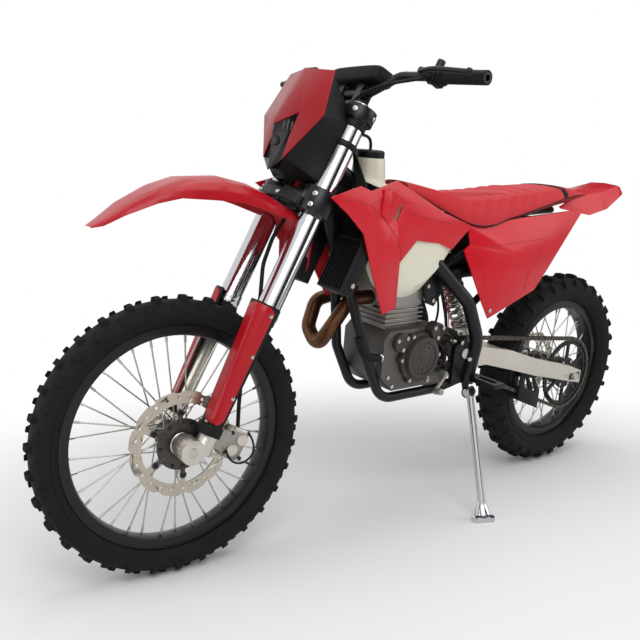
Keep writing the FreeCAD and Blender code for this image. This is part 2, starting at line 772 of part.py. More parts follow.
lamp_depth = 52.0
mask_wall = 3.0
mask_facets = [(0, 1, 4), (0, 4, 3), (1, 2, 4), (2, 5, 6), (2, 6, 4)]
lens_facets = [(0, 1, 4), (1, 2, 4), (2, 3, 4)]
lamp_drop = 32.0
shell_back_forward = 70.0
shell_front_shares = [(0.0, 0.97), (0.66, 0.95), (0.9, 0.5), (0.31, 0.0), (0.0, -0.1)]
shell_back_shares = [(0.0, 0.72), (0.40, 0.70), (0.45, 0.4), (0.31, 0.12), (0.0, 0.0)]
strap_shares = (0.38, 0.60)
strap_height = 14.0


def make_mask():
    """The headlight mask, the lamp that it frames and the shell behind them."""
    halves = []
    for side in (1, -1):
        points = mask_points(side)
        halves.append(facet_shell(points, mask_facets, Vector(-mask_wall, 0, 0)))
    add("headlight_mask", "steering", fused(*halves))
    back = mask_forward - mask_wall - seat_gap
    lenses = []
    for side in (1, -1):
        crown, shoulder, cheek, nose, brow, tip, edge = mask_points(side)
        rim = [nose, brow, edge, tip, Vector(tip.x, 0, tip.z - lamp_drop)]
        rim = [point - Vector(mask_wall, 0, 0) for point in rim]
        lenses.append(facet_shell(rim, lens_facets, Vector(-lamp_depth, 0, 0)))
    rear = block(back - lamp_depth * 2, back, -mask_half_width, mask_half_width, mask_low - mask_height,
                 mask_low + mask_height)
    add("headlamp", "steering", fused(*lenses).cut(rear))
    sections = []
    for forward, shares in ((back - seat_gap, shell_front_shares), (shell_back_forward, shell_back_shares)):
        half = [Vector(forward, y * mask_half_width, mask_low + z * mask_height) for y, z in shares]
        sections.append(half + [Vector(p.x, -p.y, p.z) for p in reversed(half[1:-1])])
    shell = loft(sections, True)
    straps = []
    for share in strap_shares:
        up = mask_low + share * mask_height
        for side in (1, -1):
            band = tube(leg(up, left=side * leg_half), leg(up + strap_height, left=side * leg_half),
                        outer_tube_radius + mask_wall, outer_tube_radius)
            ear = block(leg_offset + outer_tube_radius - overrun, back - seat_gap * 2,
                        side * leg_half - mask_wall, side * leg_half + mask_wall, up, up + strap_height)
            straps += [band, ear.cut(rod(leg(0, left=side * leg_half),
                                         leg(outer_tube_top, left=side * leg_half), outer_tube_radius))]
    add("lamp_shell", "steering", fused(shell, *straps))


fender_arch_shares = [(0.0, 0.0), (0.45, 0.04), (0.78, 0.22), (0.96, 0.58), (1.0, 1.0)]
fender_reach = 465.0
fender_half_width = 85.0


def fender_section(station, inset):
    """One arched section of the fender, pulled in by the inset."""
    reach, width, crown, skirt = station
    top = fender_low + crown * fender_rise - inset
    edge = fender_low + skirt * fender_rise
    half = fender_half_width * width - inset
    left = [Vector(reach * fender_reach, half * y, top - (top - edge) * z) for y, z in fender_arch_shares]
    return [Vector(p.x, -p.y, p.z) for p in reversed(left[1:])] + left


# Front fender, in the fork's frame
fender_wall = 3.0
fender_stations = [
    (1.000, 0.26, 0.000, -0.02), (0.965, 0.50, 0.100, 0.04), (0.905, 0.70, 0.313, 0.20),
    (0.804, 0.88, 0.575, 0.41), (0.710, 0.96, 0.744, 0.55), (0.538, 1.00, 0.920, 0.69),
    (0.400, 1.00, 0.985, 0.79), (0.280, 1.00, 1.000, 0.83), (0.100, 0.98, 0.995, 0.87),
    (-0.060, 0.90, 0.900, 0.74), (-0.110, 0.80, 0.700, 0.52)]


def make_front_fender():
    """The high front fender, bolted under the lower clamp."""
    outer = []
    inner = []
    for station in fender_stations:
        rim = fender_section(station, 0.0)
        outer.append(rim)
        core = fender_section(station, fender_wall)
        drop = Vector(0, 0, -overrun)
        inner.append([core[0] + drop] + core + [core[-1] + drop])
    skin = Part.makeLoft([Part.makePolygon(rim + rim[:1]) for rim in outer], True, True)
    hollow = Part.makeLoft([Part.makePolygon(rim + rim[:1]) for rim in inner], True, True)
    fender = skin.cut(hollow)
    for side in (1, -1):
        fender = fender.cut(rod(leg(fender_low, left=side * leg_half),
                                leg(outer_tube_top, left=side * leg_half), outer_tube_radius + fender_wall))
    add("front_fender", "steering", fender)


caliper_back = -96.0
caliper_front = -34.0
caliper_low = 8.0
caliper_high = 84.0
caliper_left = 84.0
caliper_right = 42.0
caliper_slot = 14.0
hose_radius = 5.0
caliper_chamfer = 8.0
hose_points = [
    leg(596.0, 46.0, 30.0), leg(540.0, 52.0, 26.0), leg(470.0, 50.0, 36.0), leg(400.0, 32.0, 56.0),
    leg(310.0, 8.0, 66.0), leg(210.0, -8.0, 66.0), leg(136.0, -40.0, 64.0), leg(caliper_high, -66.0, 62.0)]
hose_bend = 120.0


def make_front_caliper():
    """The brake caliper behind the left leg, with its hanger and a slot for the disc."""
    body = block(caliper_back, caliper_front, caliper_right, caliper_left, caliper_low, caliper_high)
    body = body.makeChamfer(caliper_chamfer, body.Edges)
    slot = rod(Vector(axle_offset, front_disc_place - caliper_slot / 2, 0),
               Vector(axle_offset, front_disc_place + caliper_slot / 2, 0), front_disc_radius + clamp_wall / 2)
    body = body.cut(slot)
    hanger = block(caliper_front - overrun, leg_offset - clamp_wall, caliper_left - clamp_wall, leg_half,
                   caliper_low + clamp_wall, caliper_high - clamp_wall)
    hanger = hanger.cut(rod(leg(0), leg(seal_bottom), inner_tube_radius))
    hanger = hanger.cut(cross_rod(axle_offset, 0, leg_half + axle_lug_length, 0, axle_lug_radius + seat_gap))
    caliper = fused(body, hanger)
    add("front_caliper", "steering", caliper)
    hose = bent_rod(hose_points, hose_radius, hose_bend)
    add("front_brake_hose", "steering", hose.cut(caliper))


spar_radius = 20.0
spar_half = 112.0
spar_low_x = 532.0
spar_bend_z = 640.0
spar_knee_x = 770.0
spar_knee_half = 84.0
spar_knee_z = 800.0
plate_place = 101.0
plate_wall = 14.0
plate_depth = 84.0
plate_low = 392.0
mount_tube_x = 700.0
mount_tube_z = 742.0
lug_wall = 8.0
down_head_share = 0.45
down_foot_x = 985.0
down_foot_half = 27.0
down_foot_z = 705.0
down_radius = 22.0
cradle_front_x = 930.0
cradle_front_z = 505.0
cradle_low = 370.0
shock_top = Vector(596.0, 0.0, 752.0)
shock_eye_radius = 16.0
shock_eye_half = 14.0
shock_bolt_radius = 6.0


def make_frame():
    """The black frame: head tube, backbone, spars, down tube and cradle."""
    head_low = fork_frame.multVec(Vector(0, 0, lower_clamp_bottom + lower_clamp_height + head_tube_gap))
    head_high = fork_frame.multVec(Vector(0, 0, upper_clamp_bottom - head_tube_gap))
    head = rod(head_low, head_high, head_tube_radius)
    middle = (head_low + head_high) / 2
    back = Vector(-head_tube_radius, 0, 0)
    members = [head]
    for side in (1, -1):
        spar = [middle + back / 2, Vector(spar_knee_x, side * spar_knee_half, spar_knee_z),
                Vector(spar_low_x + spar_radius * 3, side * spar_half, spar_bend_z),
                Vector(spar_low_x, side * spar_half, pivot_z + spar_radius * 2),
                Vector(pivot_x - spar_radius, side * spar_half, plate_low)]
        members.append(bent_rod(spar, spar_radius, spar_radius * 4))
        cradle = [Vector(down_foot_x, side * down_foot_half, down_foot_z),
                  Vector(cradle_front_x, side * cradle_half, cradle_front_z),
                  Vector(cradle_front_x - cradle_radius * 5, side * cradle_half, cradle_low),
                  Vector(pivot_x + plate_depth / 2, side * cradle_half, cradle_low),
                  Vector(pivot_x, side * plate_place, plate_low + plate_wall)]
        members.append(bent_rod(cradle, cradle_radius, cradle_radius * 5))
        plate = prism([(pivot_x - plate_depth / 2, plate_low), (pivot_x + plate_depth / 2, plate_low),
                       (pivot_x + plate_depth / 2, pivot_z + pivot_radius),
                       (pivot_x, pivot_z + pivot_radius * 2), (pivot_x - plate_depth / 2, pivot_z)],
                      side * plate_place - plate_wall / 2, side * plate_place + plate_wall / 2)
        members.append(plate)
    down = rod(head_low + (head_high - head_low) * down_head_share, Vector(down_foot_x, 0, down_foot_z), down_radius)
    members.append(down)
    members.append(cross_rod(pivot_x + plate_depth / 2, cradle_low, cradle_half, -cradle_half, cradle_radius))
    members.append(cross_rod(mount_tube_x, mount_tube_z, spar_knee_half, -spar_knee_half, cradle_radius))
    for side in (1, -1):
        inner = side * (shock_eye_half + seat_gap)
        outer = side * (shock_eye_half + seat_gap + lug_wall)
        members.append(prism([(mount_tube_x, mount_tube_z - cradle_radius), (mount_tube_x, mount_tube_z + cradle_radius),
                              (shock_top.x - shock_eye_radius, shock_top.z + shock_eye_radius),
                              (shock_top.x - shock_eye_radius, shock_top.z - shock_eye_radius)], inner, outer))
    members.append(cross_rod(shock_top.x, shock_top.z, shock_eye_half + lug_wall, -shock_eye_half - lug_wall,
                             shock_bolt_radius))
    frame = fused(*members)
    bore_low = fork_frame.multVec(Vector(0, 0, lower_clamp_bottom))
    bore_high = fork_frame.multVec(Vector(0, 0, upper_clamp_bottom))
    frame = frame.cut(rod(bore_low, bore_high, stem_radius + slip_gap))
    frame = frame.cut(cross_rod(pivot_x, pivot_z, spar_half * 2, -spar_half * 2,
                                pivot_bore_radius))
    add("main_frame", "chassis", frame)


arm_front_place = 74.0
arm_rear_place = 102.0
arm_rear_half = 13.0
arm_stations = [
    (-34.0, 102.0, 331.0, 13.0, 22.0), (40.0, 102.0, 352.0, 13.0, 27.0), (230.0, 102.0, 398.0, 14.0, 28.0),
    (357.0, 100.0, 437.0, 14.0, 31.0), (470.0, 82.0, 461.0, 14.0, 27.0), (577.0, 74.0, 484.0, 13.0, 22.0)]
axle_slot = 60.0
axle_overhang = 9.0
spacer_radius = 20.0
yoke_back = 372.0
yoke_front = 470.0
yoke_low = 420.0
yoke_high = 470.0
shock_foot = Vector(446.0, 0.0, 490.0)
tyre_clearance = 8.0


def make_swingarm():
    """The swingarm, its pivot bolt, the rear axle and the axle blocks."""
    arms = []
    for side in (1, -1):
        sections = []
        for x, y, z, half_y, half_z in arm_stations:
            sections.append([Vector(x, side * (y - half_y), z - half_z), Vector(x, side * (y + half_y), z - half_z),
                             Vector(x, side * (y + half_y), z + half_z), Vector(x, side * (y - half_y), z + half_z)])
        arm = loft(sections, True)
        slot = block(-axle_slot / 2, axle_slot / 2, side * arm_rear_place - arm_rear_place / 2,
                     side * arm_rear_place + arm_rear_place / 2, rear_tyre_radius - rear_axle_radius,
                     rear_tyre_radius + rear_axle_radius)
        arms.append(arm.cut(slot))
    yoke = prism([(yoke_back, yoke_low), (yoke_front, yoke_low), (yoke_front, yoke_high),
                  (yoke_back, yoke_high)], -arm_front_place, arm_front_place)
    boss = cross_rod(pivot_x, pivot_z, pivot_half_width, -pivot_half_width, pivot_radius)
    lugs = []
    for side in (1, -1):
        inner = side * (shock_eye_half + seat_gap)
        outer = side * (shock_eye_half + seat_gap + lug_wall)
        lugs.append(prism([(shock_foot.x - shock_eye_radius * 2, yoke_high - overrun),
                           (shock_foot.x + shock_eye_radius, yoke_high - overrun),
                           (shock_foot.x + shock_eye_radius, shock_foot.z + shock_eye_radius),
                           (shock_foot.x - shock_eye_radius, shock_foot.z + shock_eye_radius)], inner, outer))
    lugs.append(cross_rod(shock_foot.x, shock_foot.z, shock_eye_half + lug_wall, -shock_eye_half - lug_wall,
                          shock_bolt_radius))
    swingarm = fused(*arms, yoke, boss, *lugs)
    swingarm = swingarm.cut(cross_rod(pivot_x, pivot_z, spar_half * 2, -spar_half * 2, pivot_bore_radius))
    tyre_room = cross_rod(rear_axle.x, rear_axle.z, rear_tyre_width / 2 + tyre_clearance,
                          -rear_tyre_width / 2 - tyre_clearance, rear_tyre_radius + tyre_clearance)
    add("swingarm", "chassis", swingarm.cut(tyre_room))
    reach = plate_place + plate_wall
    add("swingarm_pivot_bolt", "chassis", fused(
        cross_rod(pivot_x, pivot_z, reach, -reach, pivot_bore_radius),
        cross_rod(pivot_x, pivot_z, reach, reach - plate_wall / 2, pivot_bore_radius * 1.6)))
    outside = arm_rear_place + arm_rear_half
    axle = cross_rod(0, rear_tyre_radius, outside + axle_overhang, -outside - axle_overhang,
                     rear_axle_radius)
    sprocket_face = chain_place + sprocket_thickness / 2 + seat_gap
    disc_face = rear_disc_place + rear_disc_thickness / 2 + seat_gap
    inside = arm_rear_place - arm_rear_half
    left_spacer = cross_rod(0, rear_tyre_radius, inside, sprocket_face, spacer_radius)
    right_spacer = cross_rod(0, rear_tyre_radius, -disc_face, -inside, spacer_radius)
    add("rear_axle", "chassis", fused(axle, left_spacer, right_spacer))


shock_radius = 22.0
shock_rod_radius = 9.0
spring_radius = 31.0
spring_wire = 5.5
spring_turns = 7
spring_seat_height = 12.0
spring_low_share = 0.22
spring_high_share = 0.80


def make_shock():
    """The rear shock absorber with its spring, between the frame and the swingarm."""
    run = shock_top - shock_foot
    along = run.normalize()
    length = (shock_top - shock_foot).Length
    low = shock_foot + along * (length * spring_low_share)
    high = shock_foot + along * (length * spring_high_share)
    parts = [rod(low + along * (length * spring_low_share), shock_top, shock_radius),
             rod(shock_foot, low + along * (length * spring_low_share + overrun), shock_rod_radius),
             rod(low - along * spring_seat_height, low, spring_radius + spring_wire),
             rod(high, high + along * spring_seat_height, spring_radius + spring_wire)]
    for eye in (shock_top, shock_foot):
        parts.append(cross_rod(eye.x, eye.z, shock_eye_half, -shock_eye_half, shock_eye_radius))
    absorber = fused(*parts)
    for eye, way in ((shock_top, 1), (shock_foot, -1)):
        for side in (1, -1):
            room = block(eye.x - shock_radius * 2, eye.x + shock_radius * 2, side * shock_eye_half,
                         side * (shock_radius + overrun), eye.z - shock_radius * 1.6, eye.z + shock_radius * 1.6)
            absorber = absorber.cut(room)
        absorber = absorber.cut(cross_rod(eye.x, eye.z, shock_radius, -shock_radius,
                                          shock_bolt_radius + slip_gap))
    height = (high - low).Length - 2 * (spring_wire + seat_gap)
    helix = Part.makeHelix(height / spring_turns, height, spring_radius)
    ring = Part.Wire([Part.Circle(Vector(spring_radius, 0, 0), Vector(0, 1, 0), spring_wire).toShape()])
    coil = Part.Wire(helix.Edges).makePipeShell([ring], True, True)
    coil.Placement = Placement(low + along * (spring_wire + seat_gap), Rotation(Vector(0, 0, 1), along))
    add("rear_shock", "chassis", Part.makeCompound([absorber, coil]))


case_back = 604.0
case_front = 884.0
case_low = 398.0
case_high = 572.0
case_step = 22.0
case_half = 84.0
crank_x = 752.0
crank_z = 490.0
left_cover_radius = 60.0
left_cover_depth = 30.0
clutch_x = 700.0
clutch_z = 462.0
clutch_radius = 62.0
right_cover_depth = 34.0
cover_step = 3.0
cover_hub_radius = 15.0
screw_boss_radius = 9.0
starter_x = 828.0
starter_z = 540.0
starter_radius = 27.0
cap_x = 706.0
cap_z = 566.0
cap_radius = 24.0
cylinder_back = 728.0
cylinder_front = 872.0
cylinder_half = 66.0
fin_count = 4
fin_pitch = 13.0
fin_wall = 4.0
fin_depth = 10.0
head_low_z = 634.0
head_high_z = 752.0
port_x = 876.0
port_z = 654.0
throttle_z = 656.0
throttle_rise = 8.0
throttle_back = 655.0
throttle_radius = 27.0
header_radius = 20.0


def make_engine():
    """The single cylinder engine: crankcase, covers, cylinder, head and throttle body."""
    case_outline = [(case_back, case_low + case_step), (case_back + case_step, case_low),
                    (case_front - case_step * 2, case_low), (case_front, case_low + case_step * 2),
                    (case_front, case_high - case_step), (case_front - case_step, case_high),
                    (case_back + case_step * 3, case_high), (case_back, case_high - case_step)]
    case = prism(case_outline, -case_half, case_half)
    for side in (1, -1):
        case = case.cut(cross_rod(pivot_x, pivot_z, case_half * 2, -case_half * 2, pivot_radius + slip_gap * 20))
    sprocket_room = cross_rod(output_shaft_x, output_shaft_z, case_half + overrun,
                              chain_place - chain_width, pitch_radius(front_teeth) + chain_height)
    chain_room = chain_band(chain_height, chain_width + overrun)
    case = case.cut(sprocket_room).cut(chain_room).cut(pieces["main_frame"][1])
    add("crankcase", "chassis", case)
    shaft = cross_rod(output_shaft_x, output_shaft_z, chain_place + chain_width,
                      chain_place - chain_width, rear_axle_radius)
    wheel = toothed_wheel(front_teeth, chain_place, 0.0)
    wheel.translate(Vector(output_shaft_x, 0, output_shaft_z))
    add("front_sprocket", "chassis", fused(shaft, wheel))
    left = cross_rod(crank_x, crank_z, case_half + left_cover_depth, case_half, left_cover_radius)
    lip = cross_rod(crank_x, crank_z, case_half + left_cover_depth / 2, case_half, left_cover_radius + clamp_wall)
    right = cross_rod(clutch_x, clutch_z, -case_half, -case_half - right_cover_depth, clutch_radius)
    small = cross_rod(crank_x, crank_z, -case_half, -case_half - right_cover_depth * 0.7, left_cover_radius)
    add("right_engine_cover", "chassis", fused(right, small))
    cap = cross_rod(cap_x, cap_z, case_half + left_cover_depth, case_half, cap_radius)
    starter = cross_rod(starter_x, starter_z, case_half + left_cover_depth / 2, case_half, starter_radius)
    hub = cross_rod(crank_x, crank_z, case_half + left_cover_depth + cover_step, case_half, cover_hub_radius)
    recess = cross_rod(crank_x, crank_z, case_half + left_cover_depth + overrun,
                       case_half + left_cover_depth - cover_step, left_cover_radius - clamp_wall)
    dish = cross_rod(cap_x, cap_z, case_half + left_cover_depth + overrun,
                     case_half + left_cover_depth - cover_step, cap_radius - cover_step * 2)
    screws = []
    for angle in range(0, 360, 60):
        turn = math.radians(angle)
        reach = left_cover_radius + clamp_wall
        screws.append(cross_rod(crank_x + reach * math.cos(turn), crank_z + reach * math.sin(turn),
                                case_half + left_cover_depth / 2, case_half, screw_boss_radius))
    covers = fused(left, lip, cap, starter, *screws).cut(recess).cut(dish)
    covers = fused(covers, hub).cut(pieces["main_frame"][1])
    add("left_engine_covers", "chassis", covers)
    fins = []
    for index in range(fin_count):
        z = case_high + fin_pitch * (index + 1)
        fins.append(block(cylinder_back, cylinder_front, -cylinder_half, cylinder_half, z, z + fin_wall))
    barrel = block(cylinder_back + fin_depth, cylinder_front - fin_depth, -cylinder_half + fin_depth,
                   cylinder_half - fin_depth, case_high, head_low_z)
    head = block(cylinder_back + fin_depth / 2, cylinder_front - fin_depth / 2, -cylinder_half + fin_depth / 2,
                 cylinder_half - fin_depth / 2, head_low_z, head_high_z)
    port = rod(Vector(cylinder_front - fin_depth, 0, port_z), Vector(port_x, 0, port_z),
               header_radius + clamp_wall / 2)
    head = fused(head, port)
    add("cylinder", "chassis", fused(barrel, *fins).cut(head))
    add("cylinder_head", "chassis", head)
    throttle = rod(Vector(cylinder_back + fin_depth / 2, 0, throttle_z),
                   Vector(throttle_back, 0, throttle_z + throttle_rise), throttle_radius)
    add("throttle_body", "chassis", throttle.cut(head))


header_points = [
    Vector(876.0, 0.0, 654.0), Vector(948.0, 0.0, 654.0), Vector(1002.0, -10.0, 574.0),
    Vector(1002.0, -62.0, 508.0), Vector(996.0, -116.0, 552.0), Vector(960.0, -134.0, 622.0),
    Vector(760.0, -152.0, 652.0), Vector(600.0, -164.0, 690.0), Vector(470.0, -166.0, 742.0)]
header_wall = 2.0
header_bend = 44.0
silencer_front = Vector(470.0, -166.0, 742.0)
silencer_back = Vector(52.0, -172.0, 838.0)
silencer_radius = 50.0
silencer_mouth = 22.0
silencer_neck_share = 0.14
silencer_tail_share = 0.90
silencer_bore_share = 0.30


def make_exhaust():
    """The header pipe, looped on the right, and the silencer behind it."""
    run = silencer_back - silencer_front
    neck = silencer_front + run * silencer_neck_share
    cone = Part.makeCone(header_radius, silencer_radius, (neck - silencer_front).Length, silencer_front, run)
    shoulder = silencer_front + run * silencer_tail_share
    can = rod(neck, shoulder, silencer_radius)
    tail = Part.makeCone(silencer_radius, silencer_mouth, (silencer_back - shoulder).Length, shoulder, run)
    silencer = fused(cone, can, tail)
    header = bent_tube(header_points, header_radius, header_radius - header_wall, header_bend)
    add("header_pipe", "chassis", header.cut(silencer))
    bore = rod(silencer_back - run * silencer_bore_share, silencer_back + run, silencer_mouth - header_wall)
    add("silencer", "chassis", silencer.cut(bore))


tank_corner = Vector(640.0, 0.0, 672.0)
tank_size = Vector(370.0, 116.0, 316.0)
tank_shares = [
    (0.00, 0.60, 0.66, 0.36), (0.16, 0.94, 0.72, 0.30), (0.34, 1.00, 0.82, 0.08),
    (0.62, 1.00, 0.93, 0.00), (0.80, 0.94, 0.99, 0.10), (0.93, 0.66, 0.98, 0.40), (1.00, 0.46, 0.90, 0.56)]
tank_section_shares = [(0.0, 1.0), (0.62, 0.97), (0.93, 0.80), (1.0, 0.50), (0.97, 0.12), (0.78, 0.0)]
tunnel_half = 72.0
tunnel_high = 790.0
neck_x = 925.0
neck_radius = 50.0
neck_top = 1034.0
neck_top_radius = 41.0
cap_top_z = 1054.0
tank_cap_radius = 39.0
neck_foot_z = 950.0
tank_clearance = 3.0


def make_tank():
    """The fuel tank that straddles the frame, its neck and its cap."""
    sections = []
    for along, width, top, low in tank_shares:
        x = tank_corner.x + along * tank_size.x
        half = width * tank_size.y
        high = tank_corner.z + top * tank_size.z
        bottom = tank_corner.z + low * tank_size.z
        rise = high - bottom
        left = [Vector(x, out * half, bottom + up * rise) for out, up in tank_section_shares]
        section = left + [Vector(p.x, -p.y, p.z) for p in reversed(left[1:])]
        sections.append(section)
    shell = loft(sections)
    neck = Part.makeCone(neck_radius, neck_top_radius, neck_top - neck_foot_z, Vector(neck_x, 0, neck_foot_z),
                         Vector(0, 0, 1))
    tank = fused(shell, neck)
    tunnel = block(tank_corner.x - overrun, tank_corner.x + tank_size.x + overrun, -tunnel_half, tunnel_half,
                   tank_corner.z - tunnel_half, tunnel_high)
    tank = tank.cut(tunnel)
    tank = tank.cut(swollen_frame(tank_clearance)).cut(radiator_room(tank_clearance))
    tank = tank.cut(pieces["main_frame"][1])
    add("fuel_tank", "chassis", tank)
    cap = rod(Vector(neck_x, 0, neck_top), Vector(neck_x, 0, cap_top_z), tank_cap_radius)
    add("tank_cap", "chassis", cap.makeChamfer(flange_thickness, [cap.Edges[0]]))


def swollen_frame(clearance):
    """The room that the head tube, the spars and the down tube need around them."""
    head_low = fork_frame.multVec(Vector(0, 0, lower_clamp_bottom + lower_clamp_height + head_tube_gap))
    head_high = fork_frame.multVec(Vector(0, 0, upper_clamp_bottom - head_tube_gap))
    middle = (head_low + head_high) / 2
    members = [rod(head_low, head_high, head_tube_radius + clearance)]
    for side in (1, -1):
        knee = Vector(spar_knee_x, side * spar_knee_half, spar_knee_z)
        low = Vector(spar_low_x + spar_radius * 3, side * spar_half, spar_bend_z)
        members.append(bent_rod([middle - Vector(head_tube_radius / 2, 0, 0), knee, low],
                                spar_radius + clearance, spar_radius * 4))
    return Part.makeCompound(members)


seat_length = 800.0
seat_back_x = 22.0
seat_half_width = 125.0
seat_top_z = 978.0
seat_depth = 118.0
seat_stations = [
    (0.000, 0.52, 0.82, 0.72), (0.130, 0.72, 0.95, 0.69), (0.330, 0.88, 0.89, 0.46),
    (0.560, 0.96, 0.75, 0.16), (0.650, 1.00, 0.72, 0.02), (0.750, 0.96, 0.70, 0.05),
    (0.870, 0.78, 0.86, 0.36), (1.000, 0.46, 1.00, 0.78)]
seat_foam = 62.0
seat_top_shares = [(0.0, 0.0), (0.50, 0.03), (0.68, 0.10)]
seat_hem_share = 0.90
seat_hem = 4.7
seat_floor_share = 0.50


def make_seat():
    """The long flat seat, which climbs the tank at its nose."""
    sections = []
    low_z = seat_top_z - seat_depth
    for along, width, top, low in seat_stations:
        x = seat_back_x + along * seat_length
        half = width * seat_half_width
        high = low_z + top * seat_depth
        bottom = low_z + low * seat_depth
        section = [Vector(x, out * half, high - fall * seat_depth) for out, fall in seat_top_shares]
        section += [Vector(x, half, bottom), Vector(x, seat_hem_share * half, bottom - seat_hem),
                    Vector(x, seat_floor_share * half, min(bottom, high - seat_foam))]
        section += [Vector(p.x, -p.y, p.z) for p in reversed(section[1:])]
        sections.append(section)
    seat = loft(sections)
    seat = seat.cut(pieces["fuel_tank"][1]).cut(swollen_frame(tank_clearance))
    add("seat", "chassis", seat)


shroud_corner = Vector(623.0, 114.0, 635.0)
shroud_size = Vector(553.0, 46.0, 358.0)
shroud_shares = [
    (1.000, 1.00, 0.874), (0.823, 0.80, 0.947), (0.740, 0.58, 0.911), (0.553, 0.12, 0.980),
    (0.206, 0.09, 0.743), (0.000, 0.09, 0.640), (0.130, 0.09, 0.461), (0.228, 0.13, 0.514),
    (0.391, 0.18, 0.545), (0.492, 0.18, 0.385), (0.481, 0.09, 0.042), (0.568, 0.13, 0.000),
    (0.685, 0.46, 0.332), (0.781, 0.78, 0.620), (0.882, 0.89, 0.751),
    (0.501, 0.24, 0.827), (0.548, 0.33, 0.693), (0.606, 0.37, 0.757)]
shroud_facets = [
    (0, 1, 14), (1, 2, 14), (2, 13, 14), (2, 17, 13), (2, 3, 15), (2, 15, 17), (3, 4, 15), (17, 16, 13),
    (16, 12, 13), (16, 9, 12), (15, 8, 16), (16, 8, 9), (15, 4, 8), (4, 7, 8), (4, 5, 7), (5, 6, 7),
    (9, 10, 12), (10, 11, 12)]
panel_corner = Vector(103.0, 110.0, 591.0)
panel_size = Vector(549.0, 40.0, 317.0)
panel_shares = [
    (0.953, 0.35, 0.700), (1.000, 0.40, 0.650), (0.818, 0.60, 0.132), (0.763, 0.60, 0.000),
    (0.410, 0.75, 0.237), (0.317, 0.70, 0.413), (0.000, 0.25, 1.000), (0.617, 0.20, 0.915),
    (0.863, 0.15, 0.858), (0.971, 0.15, 0.864), (0.620, 1.00, 0.610)]
panel_facets = [(10, 0, 1), (10, 1, 2), (10, 2, 3), (10, 3, 4), (10, 4, 5), (10, 5, 6), (10, 6, 7),
                (10, 7, 8), (10, 8, 9), (10, 9, 0)]


def make_bodywork():
    """The shrouds beside the tank and the side panels under the seat."""
    wall = Vector(0, -panel_thickness, 0)
    left = facet_shell(spread(shroud_shares, shroud_corner, shroud_size), shroud_facets, wall)
    header = bent_rod(header_points, header_radius + tank_clearance, header_bend)
    add("shrouds", "chassis", Part.makeCompound([left, mirrored(left).cut(header)]))
    side = facet_shell(spread(panel_shares, panel_corner, panel_size), panel_facets, wall)
    right = mirrored(side)
    run = silencer_back - silencer_front
    right = right.cut(rod(silencer_front, silencer_back, silencer_radius + tank_clearance)).cut(header)
    add("shrouds", "chassis", pieces["shrouds"][1].cut(pieces["seat"][1]))
    panels = Part.makeCompound([side, right])
    add("side_panels", "chassis", panels.cut(pieces["seat"][1]).cut(pieces["shrouds"][1]))


radiator_forward = -128.0
radiator_depth = 34.0
radiator_inner = 44.0
radiator_outer = 134.0
radiator_low = 492.0
radiator_high = 764.0
louver_wall = 3.0
louver_count = 9
louver_depth = 12.0


def make_radiators():
    """Both radiators behind the fork, with louvred guards in front of them."""
    core = block(radiator_forward - radiator_depth, radiator_forward, radiator_inner, radiator_outer,
                 radiator_low, radiator_high)
    tank_top = block(radiator_forward - radiator_depth, radiator_forward, radiator_inner, radiator_outer,
                     radiator_high - slip_gap, radiator_high + radiator_depth / 2)
    core = moved(fused(core, tank_top), fork_frame).cut(swollen_frame(tank_clearance))
    shroud = pieces["shrouds"][1]
    add("radiators", "chassis", both_sides(core).cut(shroud))
    front = radiator_forward + seat_gap
    bars = []
    step = (radiator_outer - radiator_inner - louver_wall) / (louver_count - 1)
    for index in range(louver_count):
        y = radiator_inner + index * step
        bars.append(block(front, front + louver_depth, y, y + louver_wall, radiator_low, radiator_high))
    for up in (radiator_low, (radiator_low + radiator_high) / 2, radiator_high - louver_wall * 2):
        bars.append(block(front, front + louver_depth, radiator_inner, radiator_outer, up,
                          up + louver_wall * 2))
    guard = moved(fused(*bars), fork_frame).cut(swollen_frame(tank_clearance))
    add("radiator_guards", "chassis", both_sides(guard).cut(shroud))


def radiator_room(clearance):
    """The room that both radiators and their guards need around them."""
    half = block(radiator_forward - radiator_depth - clearance, radiator_forward + louver_depth + clearance,
                 radiator_inner - clearance, radiator_outer * 2, radiator_low - clearance,
                 radiator_high + radiator_depth / 2 + clearance)
    return both_sides(moved(half, fork_frame))


tail_stations = [
    (170.0, 0.95, 928.0, 905.0), (20.0, 1.00, 950.0, 884.0), (-82.0, 0.94, 962.0, 903.0),
    (-175.0, 0.78, 982.0, 944.0), (-210.0, 0.62, 976.0, 951.0), (-223.0, 0.40, 967.0, 960.0)]
tail_half_width = 90.0
tail_wall = 3.5
tail_crown_share = 0.72


def make_rear_fender():
    """The rear fender behind the seat, hollow from below."""
    outer = []
    inner = []
    for x, width, high, low in tail_stations:
        half = width * tail_half_width
        for sections, inset in ((outer, 0.0), (inner, tail_wall)):
            top = high - inset
            bottom = low - (overrun if inset else 0.0)
            reach = half - inset
            left = [Vector(x, 0.0, top), Vector(x, reach * tail_crown_share, top - tail_wall),
                    Vector(x, reach, bottom)]
            sections.append([Vector(p.x, -p.y, p.z) for p in reversed(left[1:])] + left)
    fender = loft(outer, True).cut(loft(inner, True))
    add("rear_fender", "chassis", fender.cut(pieces["seat"][1]))


# Rails under the seat: corners by x, half width and z
rail_radius = 11.0
upper_rail_corners = [(560.0, 76.0, 800.0), (330.0, 58.0, 866.0), (40.0, 46.4, 884.0)]
lower_rail_corners = [(552.0, 76.0, 610.0), (420.0, 76.0, 700.0), (200.0, 58.0, 858.0)]
rail_cross_x = 240.0
rail_cross_z = 864.0
rail_cross_half = 58.0


